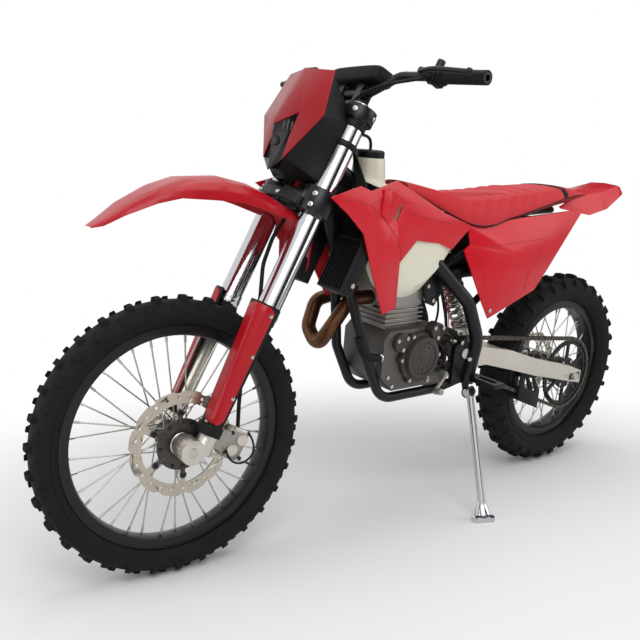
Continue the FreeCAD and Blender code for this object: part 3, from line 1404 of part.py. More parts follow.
def make_subframe():
    """The rails that carry the seat and the rear fender."""
    rails = []
    for side in (1, -1):
        start = (mount_tube_x, spar_knee_half + cradle_radius / 2, mount_tube_z)
        for corners in ([start] + upper_rail_corners, lower_rail_corners):
            rails.append(bent_rod([Vector(x, side * y, z) for x, y, z in corners], rail_radius, rail_radius * 6))
    rails.append(cross_rod(rail_cross_x, rail_cross_z, rail_cross_half, -rail_cross_half, rail_radius))
    add("subframe", "chassis", fused(*rails).cut(pieces["main_frame"][1]))


airbox_back = 330.0
airbox_front = 510.0
airbox_half = 50.0
airbox_low = 700.0
airbox_high = 838.0
airbox_slope = 60.0
boot_radius = 21.0
boot_left = 62.0


def make_airbox():
    """The airbox under the seat, and its boot that passes the shock on the left."""
    box = prism([(airbox_back + airbox_slope, airbox_low), (airbox_front, airbox_low), (airbox_front, airbox_high),
                 (airbox_back, airbox_high)], -airbox_half, airbox_half + boot_radius)
    boot_z = airbox_low + boot_radius + panel_thickness
    boot = bent_rod([Vector(airbox_front - overrun, boot_left, boot_z), Vector(shock_top.x, boot_left, boot_z),
                     Vector(throttle_back, 0, throttle_z + throttle_rise)], boot_radius, boot_radius * 3)
    room = rod(shock_foot, shock_top + (shock_top - shock_foot) * 0.1, spring_radius + spring_wire + tank_clearance)
    airbox = fused(box, boot).cut(room).cut(swollen_frame(tank_clearance))
    add("airbox", "chassis", airbox.cut(pieces["throttle_body"][1]).cut(pieces["subframe"][1]))


peg_x = 544.0
peg_z = 411.0
peg_inner = 132.0
peg_outer = 226.0
peg_width = 46.0
peg_height = 14.0
gear_hub = Vector(656.0, 118.0, 432.0)
gear_toe = Vector(724.0, 142.0, 398.0)
gear_tip = Vector(0.0, 26.0, 6.0)
brake_hub = Vector(600.0, -128.0, 404.0)
brake_knee = Vector(640.0, -128.0, 384.0)
brake_toe = Vector(742.0, -132.0, 410.0)
brake_tip = Vector(0.0, -24.0, 4.0)
brake_bend = 20.0
lever_hub_radius = 8.0
lever_arm_radius = 6.0
lever_pad_radius = 9.0


def make_foot_controls():
    """Footpegs, gear lever and brake pedal."""
    peg = block(peg_x - peg_width / 2, peg_x + peg_width / 2, peg_inner, peg_outer, peg_z - peg_height / 2,
                peg_z + peg_height / 2)
    slot = block(peg_x - peg_width / 2 + peg_height, peg_x + peg_width / 2 - peg_height, peg_inner + peg_height,
                 peg_outer - peg_height, peg_z - peg_height, peg_z + peg_height)
    hinge = rod(Vector(peg_x, plate_place, peg_z), Vector(peg_x, peg_inner + overrun, peg_z), peg_height / 2)
    add("footpegs", "chassis", both_sides(fused(peg.cut(slot), hinge)).cut(pieces["main_frame"][1]))
    shaft = Vector(gear_hub.x, case_half, gear_hub.z)
    lever = fused(rod(shaft, gear_hub, lever_hub_radius), rod(gear_hub, gear_toe, lever_arm_radius),
                  rod(gear_toe, gear_toe + gear_tip, lever_pad_radius))
    pivot = Vector(brake_hub.x, -plate_place - plate_wall / 2, brake_hub.z)
    pedal = fused(rod(pivot, brake_hub, lever_hub_radius),
                  bent_rod([brake_hub, brake_knee, brake_toe], lever_arm_radius, brake_bend),
                  rod(brake_toe, brake_toe + brake_tip, lever_pad_radius))
    add("foot_levers", "chassis", Part.makeCompound([lever, pedal]))


rear_caliper_x = 86.0
rear_caliper_up = 78.0
rear_caliper_half = 34.0
rear_caliper_outer = 22.0
rear_caliper_inner = 18.0
rear_caliper_height = 48.0
carrier_back = 10.0
carrier_front = 14.0
carrier_wall = 10.0
carrier_low = 40.0


def make_rear_brake():
    """The rear caliper on its carrier above the right arm."""
    middle = rear_tyre_radius + rear_caliper_up
    outside = -rear_disc_place - rear_caliper_outer
    body = block(rear_caliper_x - rear_caliper_half, rear_caliper_x + rear_caliper_half, outside,
                 -rear_disc_place + rear_caliper_inner, middle - rear_caliper_height / 2,
                 middle + rear_caliper_height / 2)
    slot = cross_rod(0, rear_tyre_radius, -rear_disc_place + caliper_slot / 2,
                     -rear_disc_place - caliper_slot / 2, rear_disc_radius + clamp_wall / 2)
    carrier = block(rear_caliper_x - carrier_back, rear_caliper_x + carrier_front, outside,
                    outside + carrier_wall, rear_tyre_radius + carrier_low, middle)
    add("rear_caliper", "chassis", fused(body.cut(slot), carrier))


guide_outline = [(150.0, 236.0), (262.0, 282.0), (262.0, 372.0), (206.0, 376.0), (150.0, 300.0)]
guide_window = [(176.0, 300.0), (236.0, 322.0), (236.0, 352.0), (200.0, 350.0)]
guide_gap = 5.0
guide_wall = 4.0
guide_bridge_back = 222.0
guide_bridge_front = 248.0
guide_bridge_low = 356.0
guide_bridge_high = 366.0


def make_chain_guide():
    """The chain guide under the left arm and the slider round its front."""
    plates = []
    for side in (1, -1):
        y = chain_place + side * (chain_width / 2 + guide_gap)
        plate = prism(guide_outline, y - guide_wall / 2, y + guide_wall / 2)
        plates.append(plate.cut(prism(guide_window, y - guide_wall, y + guide_wall)))
    bridge = block(guide_bridge_back, guide_bridge_front, chain_place - chain_width / 2 - guide_gap,
                   arm_rear_place - arm_rear_half, guide_bridge_low, guide_bridge_high)
    add("chain_guide", "chassis", fused(*plates, bridge).cut(pieces["swingarm"][1]))


light_back = -188.0
light_front = -158.0
light_half = 28.0
light_low = 950.0
light_high = 990.0


def make_tail_light():
    """The small tail light under the rear fender's tip."""
    lamp = block(light_back, light_front, -light_half, light_half, light_low, light_high)
    pieces_of_lamp = lamp.cut(pieces["rear_fender"][1]).Solids
    add("tail_light", "chassis", min(pieces_of_lamp, key=lambda solid: solid.CenterOfMass.z))


stand_folded_way = Vector(-0.96, 0.15, 0.23)
stand_boss_radius = 16.0
stand_boss_half = 13.0
stand_pin_radius = 7.0
stand_plate = 8.0
stand_arm_radius = 11.0


def make_stand(stood):
    """The side stand in its clevis, drawn where the machine stands on it."""
    pivot = stood.multVec(stand_pivot)
    ankle = Vector(stand_foot_x, stand_foot_y, stand_foot_height)
    way = (ankle - pivot).normalize()
    folded = stood.Rotation.multVec(stand_folded_way)
    fold_axis = way.cross(folded).normalize()
    boss = rod(pivot - fold_axis * stand_boss_half, pivot + fold_axis * stand_boss_half, stand_boss_radius)
    leg_bar = rod(pivot, ankle, stand_leg_radius)
    level = Vector(way.x, way.y, 0).normalize()
    foot = Part.makeBox(stand_foot_length, stand_foot_width, stand_foot_height,
                        Vector(-stand_foot_length / 2, -stand_foot_width / 2, 0))
    foot = foot.makeChamfer(stand_foot_height / 2, [foot.Edges[i] for i in (0, 2, 4, 6)])
    foot.Placement = Placement(Vector(stand_foot_x, stand_foot_y, 0),
                               Rotation(Vector(1, 0, 0), Vector(-level.y, level.x, 0)))
    floor = Part.makeBox(stand_foot_length * 4, stand_foot_length * 4, stand_foot_length,
                         Vector(stand_foot_x - stand_foot_length * 2, stand_foot_y - stand_foot_length * 2,
                                -stand_foot_length))
    stand = fused(boss, leg_bar, foot).cut(floor)
    bore = rod(pivot - fold_axis * stand_boss_radius, pivot + fold_axis * stand_boss_radius,
               stand_pin_radius + slip_gap)
    stand = stand.cut(bore)
    inner = pivot - fold_axis * (stand_boss_half + seat_gap)
    plate = rod(inner, inner - fold_axis * stand_plate, stand_boss_radius)
    outer = pivot + fold_axis * (stand_boss_half + seat_gap)
    pin = rod(inner, outer, stand_pin_radius)
    head = rod(outer, outer + fold_axis * stand_plate / 2, stand_boss_radius * 0.7)
    seat = stood.multVec(Vector(pivot_x - plate_depth / 4, plate_place, plate_low + stand_arm_radius))
    arm = rod(inner - fold_axis * stand_plate / 2, seat, stand_arm_radius)
    near = rod(pivot - fold_axis * stand_boss_half * 1.02, pivot + fold_axis * stand_boss_half * 1.02,
               stand_boss_radius * 1.3)
    frame = fused(moved(pieces["main_frame"][1], stood), plate, arm.cut(near), pin, head)
    return stand, frame, pivot, fold_axis


def lowest(shape):
    """The lowest point of a shape."""
    return shape.optimalBoundingBox(False).ZMin


def stand_up():
    """The placement that leans the machine and sets both tyres on the floor."""
    lean = Placement(Vector(), Rotation(Vector(1, 0, 0), -lean_deg))
    front = lowest(moved(pieces["front_tyre"][1], lean))
    rear = lowest(moved(pieces["rear_tyre"][1], lean))
    pitch = math.degrees(math.atan2(front - rear, wheelbase))
    tilt = Placement(Vector(), Rotation(Vector(0, 1, 0), pitch)) * lean
    floor = min(lowest(moved(pieces[name][1], tilt)) for name in ("front_tyre", "rear_tyre"))
    return Placement(Vector(0, 0, -floor), Rotation()) * tilt


def build():
    """Make every piece, stand the machine on the floor and write one file for each node."""
    make_front_wheel()
    make_rear_wheel()
    make_fork()
    make_fork_guards()
    make_front_fender()
    make_clamps()
    make_handlebar()
    make_levers()
    make_mask()
    make_front_caliper()
    make_frame()
    make_swingarm()
    make_shock()
    make_engine()
    make_exhaust()
    make_chain()
    make_tank()
    make_seat()
    make_bodywork()
    make_radiators()
    make_rear_fender()
    make_subframe()
    make_airbox()
    make_foot_controls()
    make_rear_brake()
    make_chain_guide()
    make_tail_light()
    stood = stand_up()
    stand, frame, pivot, fold_axis = make_stand(stood)
    shapes = {name: moved(shape, stood) for name, (body, shape) in pieces.items()}
    shapes["side_stand"] = stand
    shapes["main_frame"] = frame
    bodies = {name: body for name, (body, shape) in pieces.items()}
    bodies["side_stand"] = "side_stand"
    whole = Part.makeCompound(list(shapes.values())).optimalBoundingBox(False)
    centre = Placement(Vector(-(whole.XMin + whole.XMax) / 2, -(whole.YMin + whole.YMax) / 2, -whole.ZMin),
                       Rotation())
    os.makedirs("parts", exist_ok=True)
    for name, shape in shapes.items():
        moved(shape, centre).exportStep(f"parts/{name}.step")
    foot = centre.multVec(Vector(stand_foot_x, stand_foot_y, 0))
    report(centre * stood, centre.multVec(pivot), fold_axis, foot, bodies)


def report(placed, pivot, fold_axis, foot, bodies):
    """Print where the joints and the mounts lie in the finished machine."""
    def place(point):
        return [round(value, 9) for value in point]
    steered = placed * fork_frame * steer_turn
    across = placed.Rotation.multVec(Vector(0, 1, 0))
    front_across = steered.Rotation.multVec(Vector(0, 1, 0))
    ends = {}
    for name, side in (("left", 1), ("right", -1)):
        points = bar_points(side)
        ends[name] = [place(steered.multVec(points[-1])),
                      place(steered.Rotation.multVec((points[-1] - points[-2]).normalize()))]
    facts = {
        "front_axle": [place(steered.multVec(Vector(axle_offset, 0, 0))), place(front_across)],
        "rear_axle": [place(placed.multVec(rear_axle)), place(across)],
        "steering": [place(placed.multVec(fork_frame.multVec(Vector(0, 0, lower_clamp_bottom)))),
                     place(placed.Rotation.multVec(axis_up))],
        "stand": [place(pivot), place(fold_axis)],
        "stand_foot": place(foot),
        "bar_ends": ends,
        "mirrors": {name: [place(steered.multVec(marks["mirror_" + name])),
                           place(steered.Rotation.multVec(Vector(0, 0, 1)))] for name in ("left", "right")},
        "placed": [place(placed.Base), place(placed.Rotation.Q)],
        "bodies": bodies}
    print("FACTS " + json.dumps(facts))


build()
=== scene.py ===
"""Looks of the trail motorcycle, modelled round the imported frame."""

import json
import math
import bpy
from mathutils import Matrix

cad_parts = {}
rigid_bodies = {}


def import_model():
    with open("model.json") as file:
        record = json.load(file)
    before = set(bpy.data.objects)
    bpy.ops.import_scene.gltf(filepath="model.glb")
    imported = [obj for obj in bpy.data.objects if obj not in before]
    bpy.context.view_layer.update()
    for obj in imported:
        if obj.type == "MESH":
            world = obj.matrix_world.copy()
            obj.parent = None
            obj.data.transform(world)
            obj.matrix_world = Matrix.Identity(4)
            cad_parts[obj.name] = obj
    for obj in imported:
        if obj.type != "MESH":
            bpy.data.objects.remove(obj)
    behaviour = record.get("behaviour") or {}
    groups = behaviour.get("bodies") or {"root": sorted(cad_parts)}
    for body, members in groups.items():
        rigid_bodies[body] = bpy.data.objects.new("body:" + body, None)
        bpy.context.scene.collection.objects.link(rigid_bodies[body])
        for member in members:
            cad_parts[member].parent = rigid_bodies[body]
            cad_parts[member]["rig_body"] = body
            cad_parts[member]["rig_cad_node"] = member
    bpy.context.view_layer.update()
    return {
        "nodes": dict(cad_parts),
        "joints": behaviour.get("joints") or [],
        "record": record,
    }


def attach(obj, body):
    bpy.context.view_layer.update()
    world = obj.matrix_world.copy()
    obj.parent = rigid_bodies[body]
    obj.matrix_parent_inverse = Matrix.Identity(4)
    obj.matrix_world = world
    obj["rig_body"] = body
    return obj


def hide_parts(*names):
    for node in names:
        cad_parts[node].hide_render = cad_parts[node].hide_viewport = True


bl_info = {
    "name": "Trail motorcycle",
    "version": (1, 0, 0),
    "blender": (4, 5, 0),
    "location": "3D View > Sidebar > Motorcycle",
    "description": "Tyres, bodywork, engine and finishes of an off-road motorcycle on its side stand",
    "category": "Object",
}

import bpy
from bpy.props import FloatProperty, FloatVectorProperty, IntProperty, PointerProperty
from mathutils import Matrix, Vector

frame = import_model()

MM = 0.001
RAKE = math.radians(26.5)
FRONT_RADIUS = 350.0
REAR_RADIUS = 337.0
AXLE_OFFSET = 57.0
STRAIGHT_FORK_FOOT = Vector((1429.0, 0, 324.6))
Y_AXIS = Vector((0, 1, 0))
ORIGIN = Vector((0, 0, 0))


def joint_line(name):
    """The place and the direction of a joint's axis."""
    joint = next(joint for joint in frame["joints"] if joint["name"] == name)
    return Vector(joint["pos_m"]), Vector(joint["axis"]).normalized()


def axes_matrix(ahead, left, up, origin):
    """The placement of a frame with these three directions, in millimetres."""
    turn = Matrix((ahead, left, up)).transposed()
    return Matrix.Translation(origin) @ turn.to_4x4() @ Matrix.Scale(MM, 4)


REAR_AXLE, ACROSS = joint_line("rear_wheel_spin")
FRONT_AXLE, FRONT_ACROSS = joint_line("front_wheel_spin")
STEER_UP = joint_line("steering")[1]
STRAIGHT_AHEAD = ACROSS.cross(STEER_UP).normalized()
BIKE_X = math.cos(RAKE) * STRAIGHT_AHEAD - math.sin(RAKE) * STEER_UP
BIKE_Z = math.sin(RAKE) * STRAIGHT_AHEAD + math.cos(RAKE) * STEER_UP
FORK_X = FRONT_ACROSS.cross(STEER_UP).normalized()

BIKE = axes_matrix(BIKE_X, ACROSS, BIKE_Z, REAR_AXLE - BIKE_Z * REAR_RADIUS * MM)
FORK = axes_matrix(FORK_X, FRONT_ACROSS, STEER_UP, FRONT_AXLE - FORK_X * AXLE_OFFSET * MM)
FRONT_WHEEL = axes_matrix(FORK_X, FRONT_ACROSS, STEER_UP, FRONT_AXLE)
REAR_WHEEL = axes_matrix(BIKE_X, ACROSS, BIKE_Z, REAR_AXLE)
STRAIGHT_FORK = axes_matrix(STRAIGHT_AHEAD, ACROSS, STEER_UP, BIKE @ STRAIGHT_FORK_FOOT)
PLACES = {"chassis": BIKE, "side_stand": BIKE, "steering": FORK, "front_wheel": FRONT_WHEEL,
          "rear_wheel": REAR_WHEEL}


class MotorcycleSettings(bpy.types.PropertyGroup):
    """The sizes and colours of the motorcycle that a user may change."""
    plastic_red: FloatVectorProperty(name="Bodywork red", description="Colour of the shrouds and side panels",
                                     subtype="COLOR", size=3, min=0, max=1, default=(0.617, 0.0103, 0.0212))
    cover_red: FloatVectorProperty(name="Seat red", description="Colour of the seat cover", subtype="COLOR",
                                   size=3, min=0, max=1, default=(0.552, 0.0212, 0.0296))
    tank_cream: FloatVectorProperty(name="Tank cream", description="Colour of the fuel tank", subtype="COLOR",
                                    size=3, min=0, max=1, default=(0.760, 0.723, 0.578))
    lug_length: FloatProperty(name="Lug length", description="Length of a tread lug along the tyre", unit="LENGTH",
                              default=0.017, min=0.008, max=0.024)
    spoke_radius: FloatProperty(name="Spoke radius", description="Radius of each wheel spoke", unit="LENGTH",
                                default=0.002, min=0.001, max=0.003)
    pleat_count: IntProperty(name="Pleats", description="Pleats across the seat", default=6, min=0, max=8)
    pleat_height: FloatProperty(name="Pleat height", description="How far each pleat of the seat stands out",
                                unit="LENGTH", default=0.0045, min=0.0, max=0.008)
    lamp_power: FloatProperty(name="Studio light", description="Power of the studio's main light", subtype="POWER",
                              default=58.0, min=1.0, max=400.0)


def settings():
    """The sizes and colours now set."""
    return bpy.context.scene.motorcycle


# Making pieces


def clear():
    """Leave edit mode and select nothing."""
    if bpy.context.object and bpy.context.object.mode != "OBJECT":
        bpy.ops.object.mode_set(mode="OBJECT")
    bpy.ops.object.select_all(action="DESELECT")


def only(piece):
    """Make this piece the one that is selected and active."""
    clear()
    piece.select_set(True)
    bpy.context.view_layer.objects.active = piece
    return piece


def in_edit(piece, *steps):
    """Run edit mode steps on the whole piece."""
    only(piece)
    bpy.ops.object.mode_set(mode="EDIT")
    bpy.ops.mesh.select_all(action="SELECT")
    for step in steps:
        step()
    bpy.ops.object.mode_set(mode="OBJECT")
    return piece


def weld(piece, distance=0.02):
    """Close the seams of a piece and turn its faces outwards."""
    return in_edit(piece, lambda: bpy.ops.mesh.remove_doubles(threshold=distance),
                   lambda: bpy.ops.mesh.normals_make_consistent(inside=False))


def modify(piece, kind, **values):
    """Add a modifier with its values and apply it."""
    only(piece)
    modifier = piece.modifiers.new(kind.lower(), kind)
    for key, value in values.items():
        setattr(modifier, key, value)
    bpy.ops.object.modifier_apply(modifier=modifier.name)
    return piece


def bevelled(piece, width, segments=2, angle=35.0):
    """Round the edges that are sharper than the angle."""
    return modify(piece, "BEVEL", width=width, segments=segments, limit_method="ANGLE",
                  angle_limit=math.radians(angle), miter_outer="MITER_ARC")


def smooth(piece, angle=35.0):
    """Shade smooth across edges flatter than the angle."""
    only(piece)
    bpy.ops.object.shade_smooth_by_angle(angle=math.radians(angle))
    return piece


def sheet(columns, rows, place, seam=True):
    """A grid whose corners are put in place by u and v from 0 to 1."""
    clear()
    bpy.ops.mesh.primitive_grid_add(x_subdivisions=columns, y_subdivisions=rows, size=1)
    piece = bpy.context.object
    for vertex in piece.data.vertices:
        vertex.co = place(vertex.co.x + 0.5, vertex.co.y + 0.5)
    return weld(piece) if seam else piece


def spot(radius, turn, along=0.0):
    """A place by its radius and its turn about Y, and its place along Y."""
    return Vector((radius * math.cos(turn), along, radius * math.sin(turn)))


def evenly(count, first=0.0):
    """The turns that share out a full circle."""
    return [first + 2 * math.pi * index / count for index in range(count)]


def along_rows(rows, share):
    """A point at a share of the way along straight rows of points."""
    way = share * (len(rows) - 1)
    index = min(int(way), len(rows) - 2)
    return Vector(rows[index]).lerp(Vector(rows[index + 1]), way - index)


def turned(outline, steps, closed=True):
    """An outline of radius and place along Y, turned about Y."""
    points = outline + outline[:1] if closed else outline
    rows = len(points) - 1

    def place(u, v):
        radius, along = points[round(v * rows)]
        return spot(radius, 2 * math.pi * u, along)

    return sheet(steps, rows, place)


def skinned(sections):
    """A skin through rings of corners, all with as many corners."""
    columns, rows = len(sections[0]), len(sections) - 1
    return sheet(columns, rows, lambda u, v: sections[round(v * rows)][round(u * columns) % columns])


def capped(piece):
    """Close the open ends of a skin."""
    return in_edit(piece, lambda: bpy.ops.mesh.select_all(action="DESELECT"),
                   lambda: bpy.ops.mesh.select_non_manifold(extend=False, use_wire=False, use_multi_face=False,
                                                            use_non_contiguous=False, use_verts=False),
                   lambda: bpy.ops.mesh.edge_face_add(),
                   lambda: bpy.ops.mesh.select_all(action="SELECT"),
                   lambda: bpy.ops.mesh.normals_make_consistent(inside=False))


def flat_plate(outline, low, high, bevel=0.0):
    """A plate with this outline of X and Z, between two places along Y."""
    plate = capped(skinned([[Vector((x, y, z)) for x, z in outline] for y in (low, high)]))
    return bevelled(plate, bevel, 2, 30) if bevel else plate


def walled(columns, rows, place, thickness, bevel, offset=0):
    """A bent sheet with a wall and rounded edges."""
    piece = modify(sheet(columns, rows, place, seam=False), "SOLIDIFY", thickness=thickness, offset=offset)
    return bevelled(weld(piece), bevel)


def block(low, high, bevel):
    """A box between two corners with rounded edges."""
    clear()
    low, high = Vector(low), Vector(high)
    bpy.ops.mesh.primitive_cube_add(size=1, location=(low + high) / 2)
    piece = bpy.context.object
    piece.scale = high - low
    return bevelled(settle(piece), bevel)


def settle(piece):
    """Put the object's own placement into its mesh."""
    only(piece)
    bpy.ops.object.transform_apply(location=True, rotation=True, scale=True)
    return piece


def rod(start, end, radius, vertices=32, bevel=0.0, tip=None):
    """A round bar, or a cone where the tip has another radius."""
    clear()
    start, end = Vector(start), Vector(end)
    run = end - start
    tip = radius if tip is None else tip
    bpy.ops.mesh.primitive_cone_add(vertices=vertices, radius1=radius, radius2=tip, depth=run.length,
                                    location=(start + end) / 2)
    piece = bpy.context.object
    piece.rotation_mode = "QUATERNION"
    piece.rotation_quaternion = run.to_track_quat("Z", "X")
    settle(piece)
    return bevelled(piece, bevel, 2, 50) if bevel else piece


def cable(points, radius, resolution=8):
    """A round cord along a smooth curve through a few points."""
    clear()
    bpy.ops.curve.primitive_nurbs_path_add()
    piece = bpy.context.object
    curve = piece.data
    curve.splines.clear()
    spline = curve.splines.new("NURBS")
    spline.points.add(len(points) - 1)
    for corner, point in zip(spline.points, points):
        corner.co = (*Vector(point), 1)
    spline.order_u = 3
    spline.use_endpoint_u = True
    curve.resolution_u = resolution
    curve.bevel_depth = radius
    curve.bevel_resolution = 3
    curve.use_fill_caps = True
    only(piece)
    bpy.ops.object.convert(target="MESH")
    return bpy.context.object


def copy_of(piece, matrix=Matrix.Identity(4)):
    """A copy with a mesh of its own, carried by the matrix."""
    twin = piece.copy()
    twin.data = piece.data.copy()
    twin.data.transform(matrix)
    bpy.context.scene.collection.objects.link(twin)
    return twin


def joined(pieces):
    """Many pieces as one."""
    clear()
    for piece in pieces:
        piece.select_set(True)
    bpy.context.view_layer.objects.active = pieces[0]
    if len(pieces) > 1:
        bpy.ops.object.join()
    return bpy.context.object


def around(piece, count):
    """Copies of the piece, evenly turned about Y."""
    copies = [copy_of(piece, Matrix.Rotation(turn, 4, "Y")) for turn in evenly(count)]
    bpy.data.objects.remove(piece)
    return joined(copies)


def mirrored(piece):
    """The piece on the other side, its faces turned outwards again."""
    twin = copy_of(piece, Matrix.Scale(-1, 4, Y_AXIS))
    twin.data.flip_normals()
    return twin


def pair(piece):
    """The piece and its mirror image as one."""
    return joined([piece, mirrored(piece)])


def finish(piece, name, body, material, replaces=(), angle=35.0, placement=None):
    """Name a piece, put it in place, and give it its body, finish and slot."""
    only(piece)
    piece.name = name
    piece.data.name = name
    piece.data.transform(PLACES[body] if placement is None else placement)
    piece.data.materials.clear()
    piece.data.materials.append(MATERIALS[material])
    smooth(piece, angle)
    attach(piece, body)
    if replaces:
        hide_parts(*replaces)
    return piece


# In degrees: edges that are rounded on a construction piece, and facets that are merged
DRESS_ANGLE, FLAT_ANGLE = 32.0, 0.6


def dressed(node, material, width):
    """A copy of a construction piece with smooth walls and edges rounded to a width in metres."""
    piece = copy_of(frame["nodes"][node])
    piece.parent = None
    piece.matrix_world = Matrix.Identity(4)
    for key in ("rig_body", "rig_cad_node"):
        if key in piece:
            del piece[key]
    in_edit(piece, lambda: bpy.ops.mesh.remove_doubles(threshold=0.00001),
            lambda: bpy.ops.mesh.dissolve_limited(angle_limit=math.radians(FLAT_ANGLE)))
    if width:
        bevelled(piece, width, 2, DRESS_ANGLE)
    record = frame["record"]
    body = next(name for name, nodes in record["behaviour"]["bodies"].items() if node in nodes)
    return finish(piece, node + "_dressed", body, material, (node,), DRESS_ANGLE, Matrix.Identity(4))


# Finishes


class Wire:
    """A node socket that can be added, multiplied and compared in plain sums."""

    def __init__(self, tree, socket):
        self.tree = tree
        self.socket = socket

    def sum(self, operation, other):
        """The result of one Math node on this socket and another value or wire."""
        node = self.tree.nodes.new("ShaderNodeMath")
        node.operation = operation
        lead(self.tree, self, node.inputs[0])
        lead(self.tree, other, node.inputs[1])
        return Wire(self.tree, node.outputs[0])

    def __add__(self, other):
        return self.sum("ADD", other)

    def __sub__(self, other):
        return self.sum("SUBTRACT", other)

    def __mul__(self, other):
        return self.sum("MULTIPLY", other)

    def most(self, other):
        """The larger of two values."""
        return self.sum("MAXIMUM", other)


def lead(tree, item, socket):
    """Lead a wire to a socket, or write a plain value there."""
    if isinstance(item, Wire):
        tree.links.new(item.socket, socket)
    else:
        socket.default_value = item


class Finish:
    """A material built from its surface shader outwards."""

    def __init__(self, name, colour, rough=0.5, metal=0.0, coat=0.0, coat_rough=0.05, specular=0.5, sheen=0.0):
        self.material = bpy.data.materials.new(name + "_finish")
        self.material.use_nodes = True
        self.tree = self.material.node_tree
        self.shader = self.tree.nodes["Principled BSDF"]
        values = {"Base Color": (*colour, 1), "Roughness": rough, "Metallic": metal, "Coat Weight": coat,
                  "Coat Roughness": coat_rough, "Specular IOR Level": specular, "Sheen Weight": sheen}
        for socket, value in values.items():
            self.shader.inputs[socket].default_value = value
        self.colour = colour
        self.normal = None
        self.place = self.node("TexCoord", output="Object")

    def node(self, kind, choices=None, output=0, **values):
        """One node with its choices, its input values or wires, and one of its outputs."""
        node = self.tree.nodes.new("ShaderNode" + kind)
        for key, value in (choices or {}).items():
            setattr(node, key, value)
        for key, value in values.items():
            lead(self.tree, value, node.inputs[key.replace("_", " ")])
        return Wire(self.tree, node.outputs[output])

    def noise(self, scale, detail=3.0):
        """A cloudy value from 0 to 1, in cycles per metre."""
        return self.node("TexNoise", {"noise_dimensions": "3D"}, Vector=self.place, Scale=scale, Detail=detail)

    def cells(self, scale):
        """The distance to scattered points."""
        return self.node("TexVoronoi", {"feature": "F1"}, Vector=self.place, Scale=scale)

    def mix(self, factor, first, second):
        """Two colours mixed by a factor."""
        node = self.tree.nodes.new("ShaderNodeMix")
        node.data_type = "RGBA"
        for index, item in ((0, factor), (6, (*first, 1)), (7, (*second, 1))):
            lead(self.tree, item, node.inputs[index])
        return Wire(self.tree, node.outputs[2])

    def feed(self, name, wire):
        """Lead a wire to one of the surface's sockets."""
        self.tree.links.new(wire.socket, self.shader.inputs[name])

    def bump(self, height, strength, distance):
        """Add a height to the surface's relief."""
        values = {"Height": height, "Strength": strength, "Distance": distance}
        if self.normal:
            values["Normal"] = self.normal
        self.normal = self.node("Bump", **values)
        self.feed("Normal", self.normal)

    def mottle(self, scale, spread):
        """Vary the colour and the gloss a little, in clouds."""
        dark = tuple(value * (1 - spread) for value in self.colour)
        light = tuple(min(1, value * (1 + spread)) for value in self.colour)
        self.feed("Base Color", self.mix(self.noise(scale, 4.0), dark, light))
        rough = self.shader.inputs["Roughness"].default_value
        self.feed("Roughness", (self.noise(scale * 2.3, 5.0) - 0.5) * (rough * spread * 2) + rough)


def linear(red, green, blue):
    """A colour written as 0 to 255 on screen, as the shader needs it."""
    return tuple(((value / 255 + 0.055) / 1.055) ** 2.4 if value > 10 else value / 255 / 12.92
                 for value in (red, green, blue))


MATERIALS = {}
GRAIN_DEPTH = 0.0004
# Name, colour on screen, roughness, metallic, grain in cycles per metre, its strength, the spread of tone, the rest
GRAINED = [
    ("tyre_rubber", (22, 22, 22), 0.8, 0.0, 1500, 0.25, 0.22, {"cloud": 9, "specular": 0.2}),
    ("black_rubber", (15, 15, 16), 0.6, 0.0, 1200, 0.2, 0.15, {"specular": 0.2}),
    ("satin_black", (14, 14, 15), 0.36, 0.0, 1400, 0.08, 0.12, {"specular": 0.3}),
    ("moulded_black", (15, 15, 16), 0.5, 0.0, 1800, 0.22, 0.15, {"specular": 0.22}),
    ("anodised_black", (14, 14, 15), 0.32, 0.0, 900, 0.05, 0.12, {"specular": 0.35}),
    ("fork_silver", (200, 200, 204), 0.14, 1.0, 500, 0.02, 0.04, {}),
    ("bright_steel", (190, 187, 182), 0.25, 1.0, 700, 0.05, 0.08, {}),
    ("satin_alloy", (206, 200, 190), 0.38, 0.9, 600, 0.06, 0.08, {}),
    ("cast_alloy", (158, 154, 148), 0.48, 0.85, 1100, 0.3, 0.15, {}),
    ("dark_alloy", (96, 93, 90), 0.5, 0.6, 1100, 0.3, 0.25, {"cloud": 20}),
    ("bronze_grey", (70, 62, 60), 0.4, 0.5, 1300, 0.12, 0.1, {}),
    ("chain_steel", (88, 82, 76), 0.4, 0.85, 500, 0.15, 0.25, {"cloud": 60}),
    ("disc_steel", (186, 178, 164), 0.3, 1.0, 300, 0.05, 0.1, {"cloud": 25}),
    ("black_steel", (30, 29, 29), 0.4, 0.6, 500, 0.1, 0.2, {}),
    ("radiator_alloy", (96, 94, 90), 0.5, 0.7, 500, 0.2, 0.15, {}),
    ("smoked_lens", (8, 8, 9), 0.2, 0.0, 60, 0.01, 0.2, {"specular": 0.25}),
    ("red_lens", (150, 12, 20), 0.12, 0.0, 60, 0.01, 0.1, {"coat": 1.0}),
    ("bar_pad_cloth", (17, 17, 18), 0.7, 0.0, 2200, 0.35, 0.15, {"specular": 0.2}),
]
# Shares of the bodywork's red, and the weight of the coat; the shares below one are painted shade on the same red
# The second red is painted shade on the fender, the fork guards' panels and the creases, and the starter wires take it
# too; the third is stronger painted shade on the lamp's mask
REDS = [("gloss_red", 1.0, 0.1), ("shaded_red", 0.7, 0.12), ("mask_shaded_red", 0.52, 0.12)]
STEEL, BURNT, TANNED = (132, 96, 66), (48, 32, 26), (122, 82, 54)


def grained(name, colour, rough, metal=0.0, scale=900, strength=0.08, spread=0.12, cloud=14, **more):
    """A finish with clouds of tone and a fine grain, kept by its name."""
    made = Finish(name, colour, rough, metal, **more)
    made.mottle(cloud, spread)
    made.bump(made.noise(scale, 2.0), strength, GRAIN_DEPTH)
    MATERIALS[name] = made.material
    return made


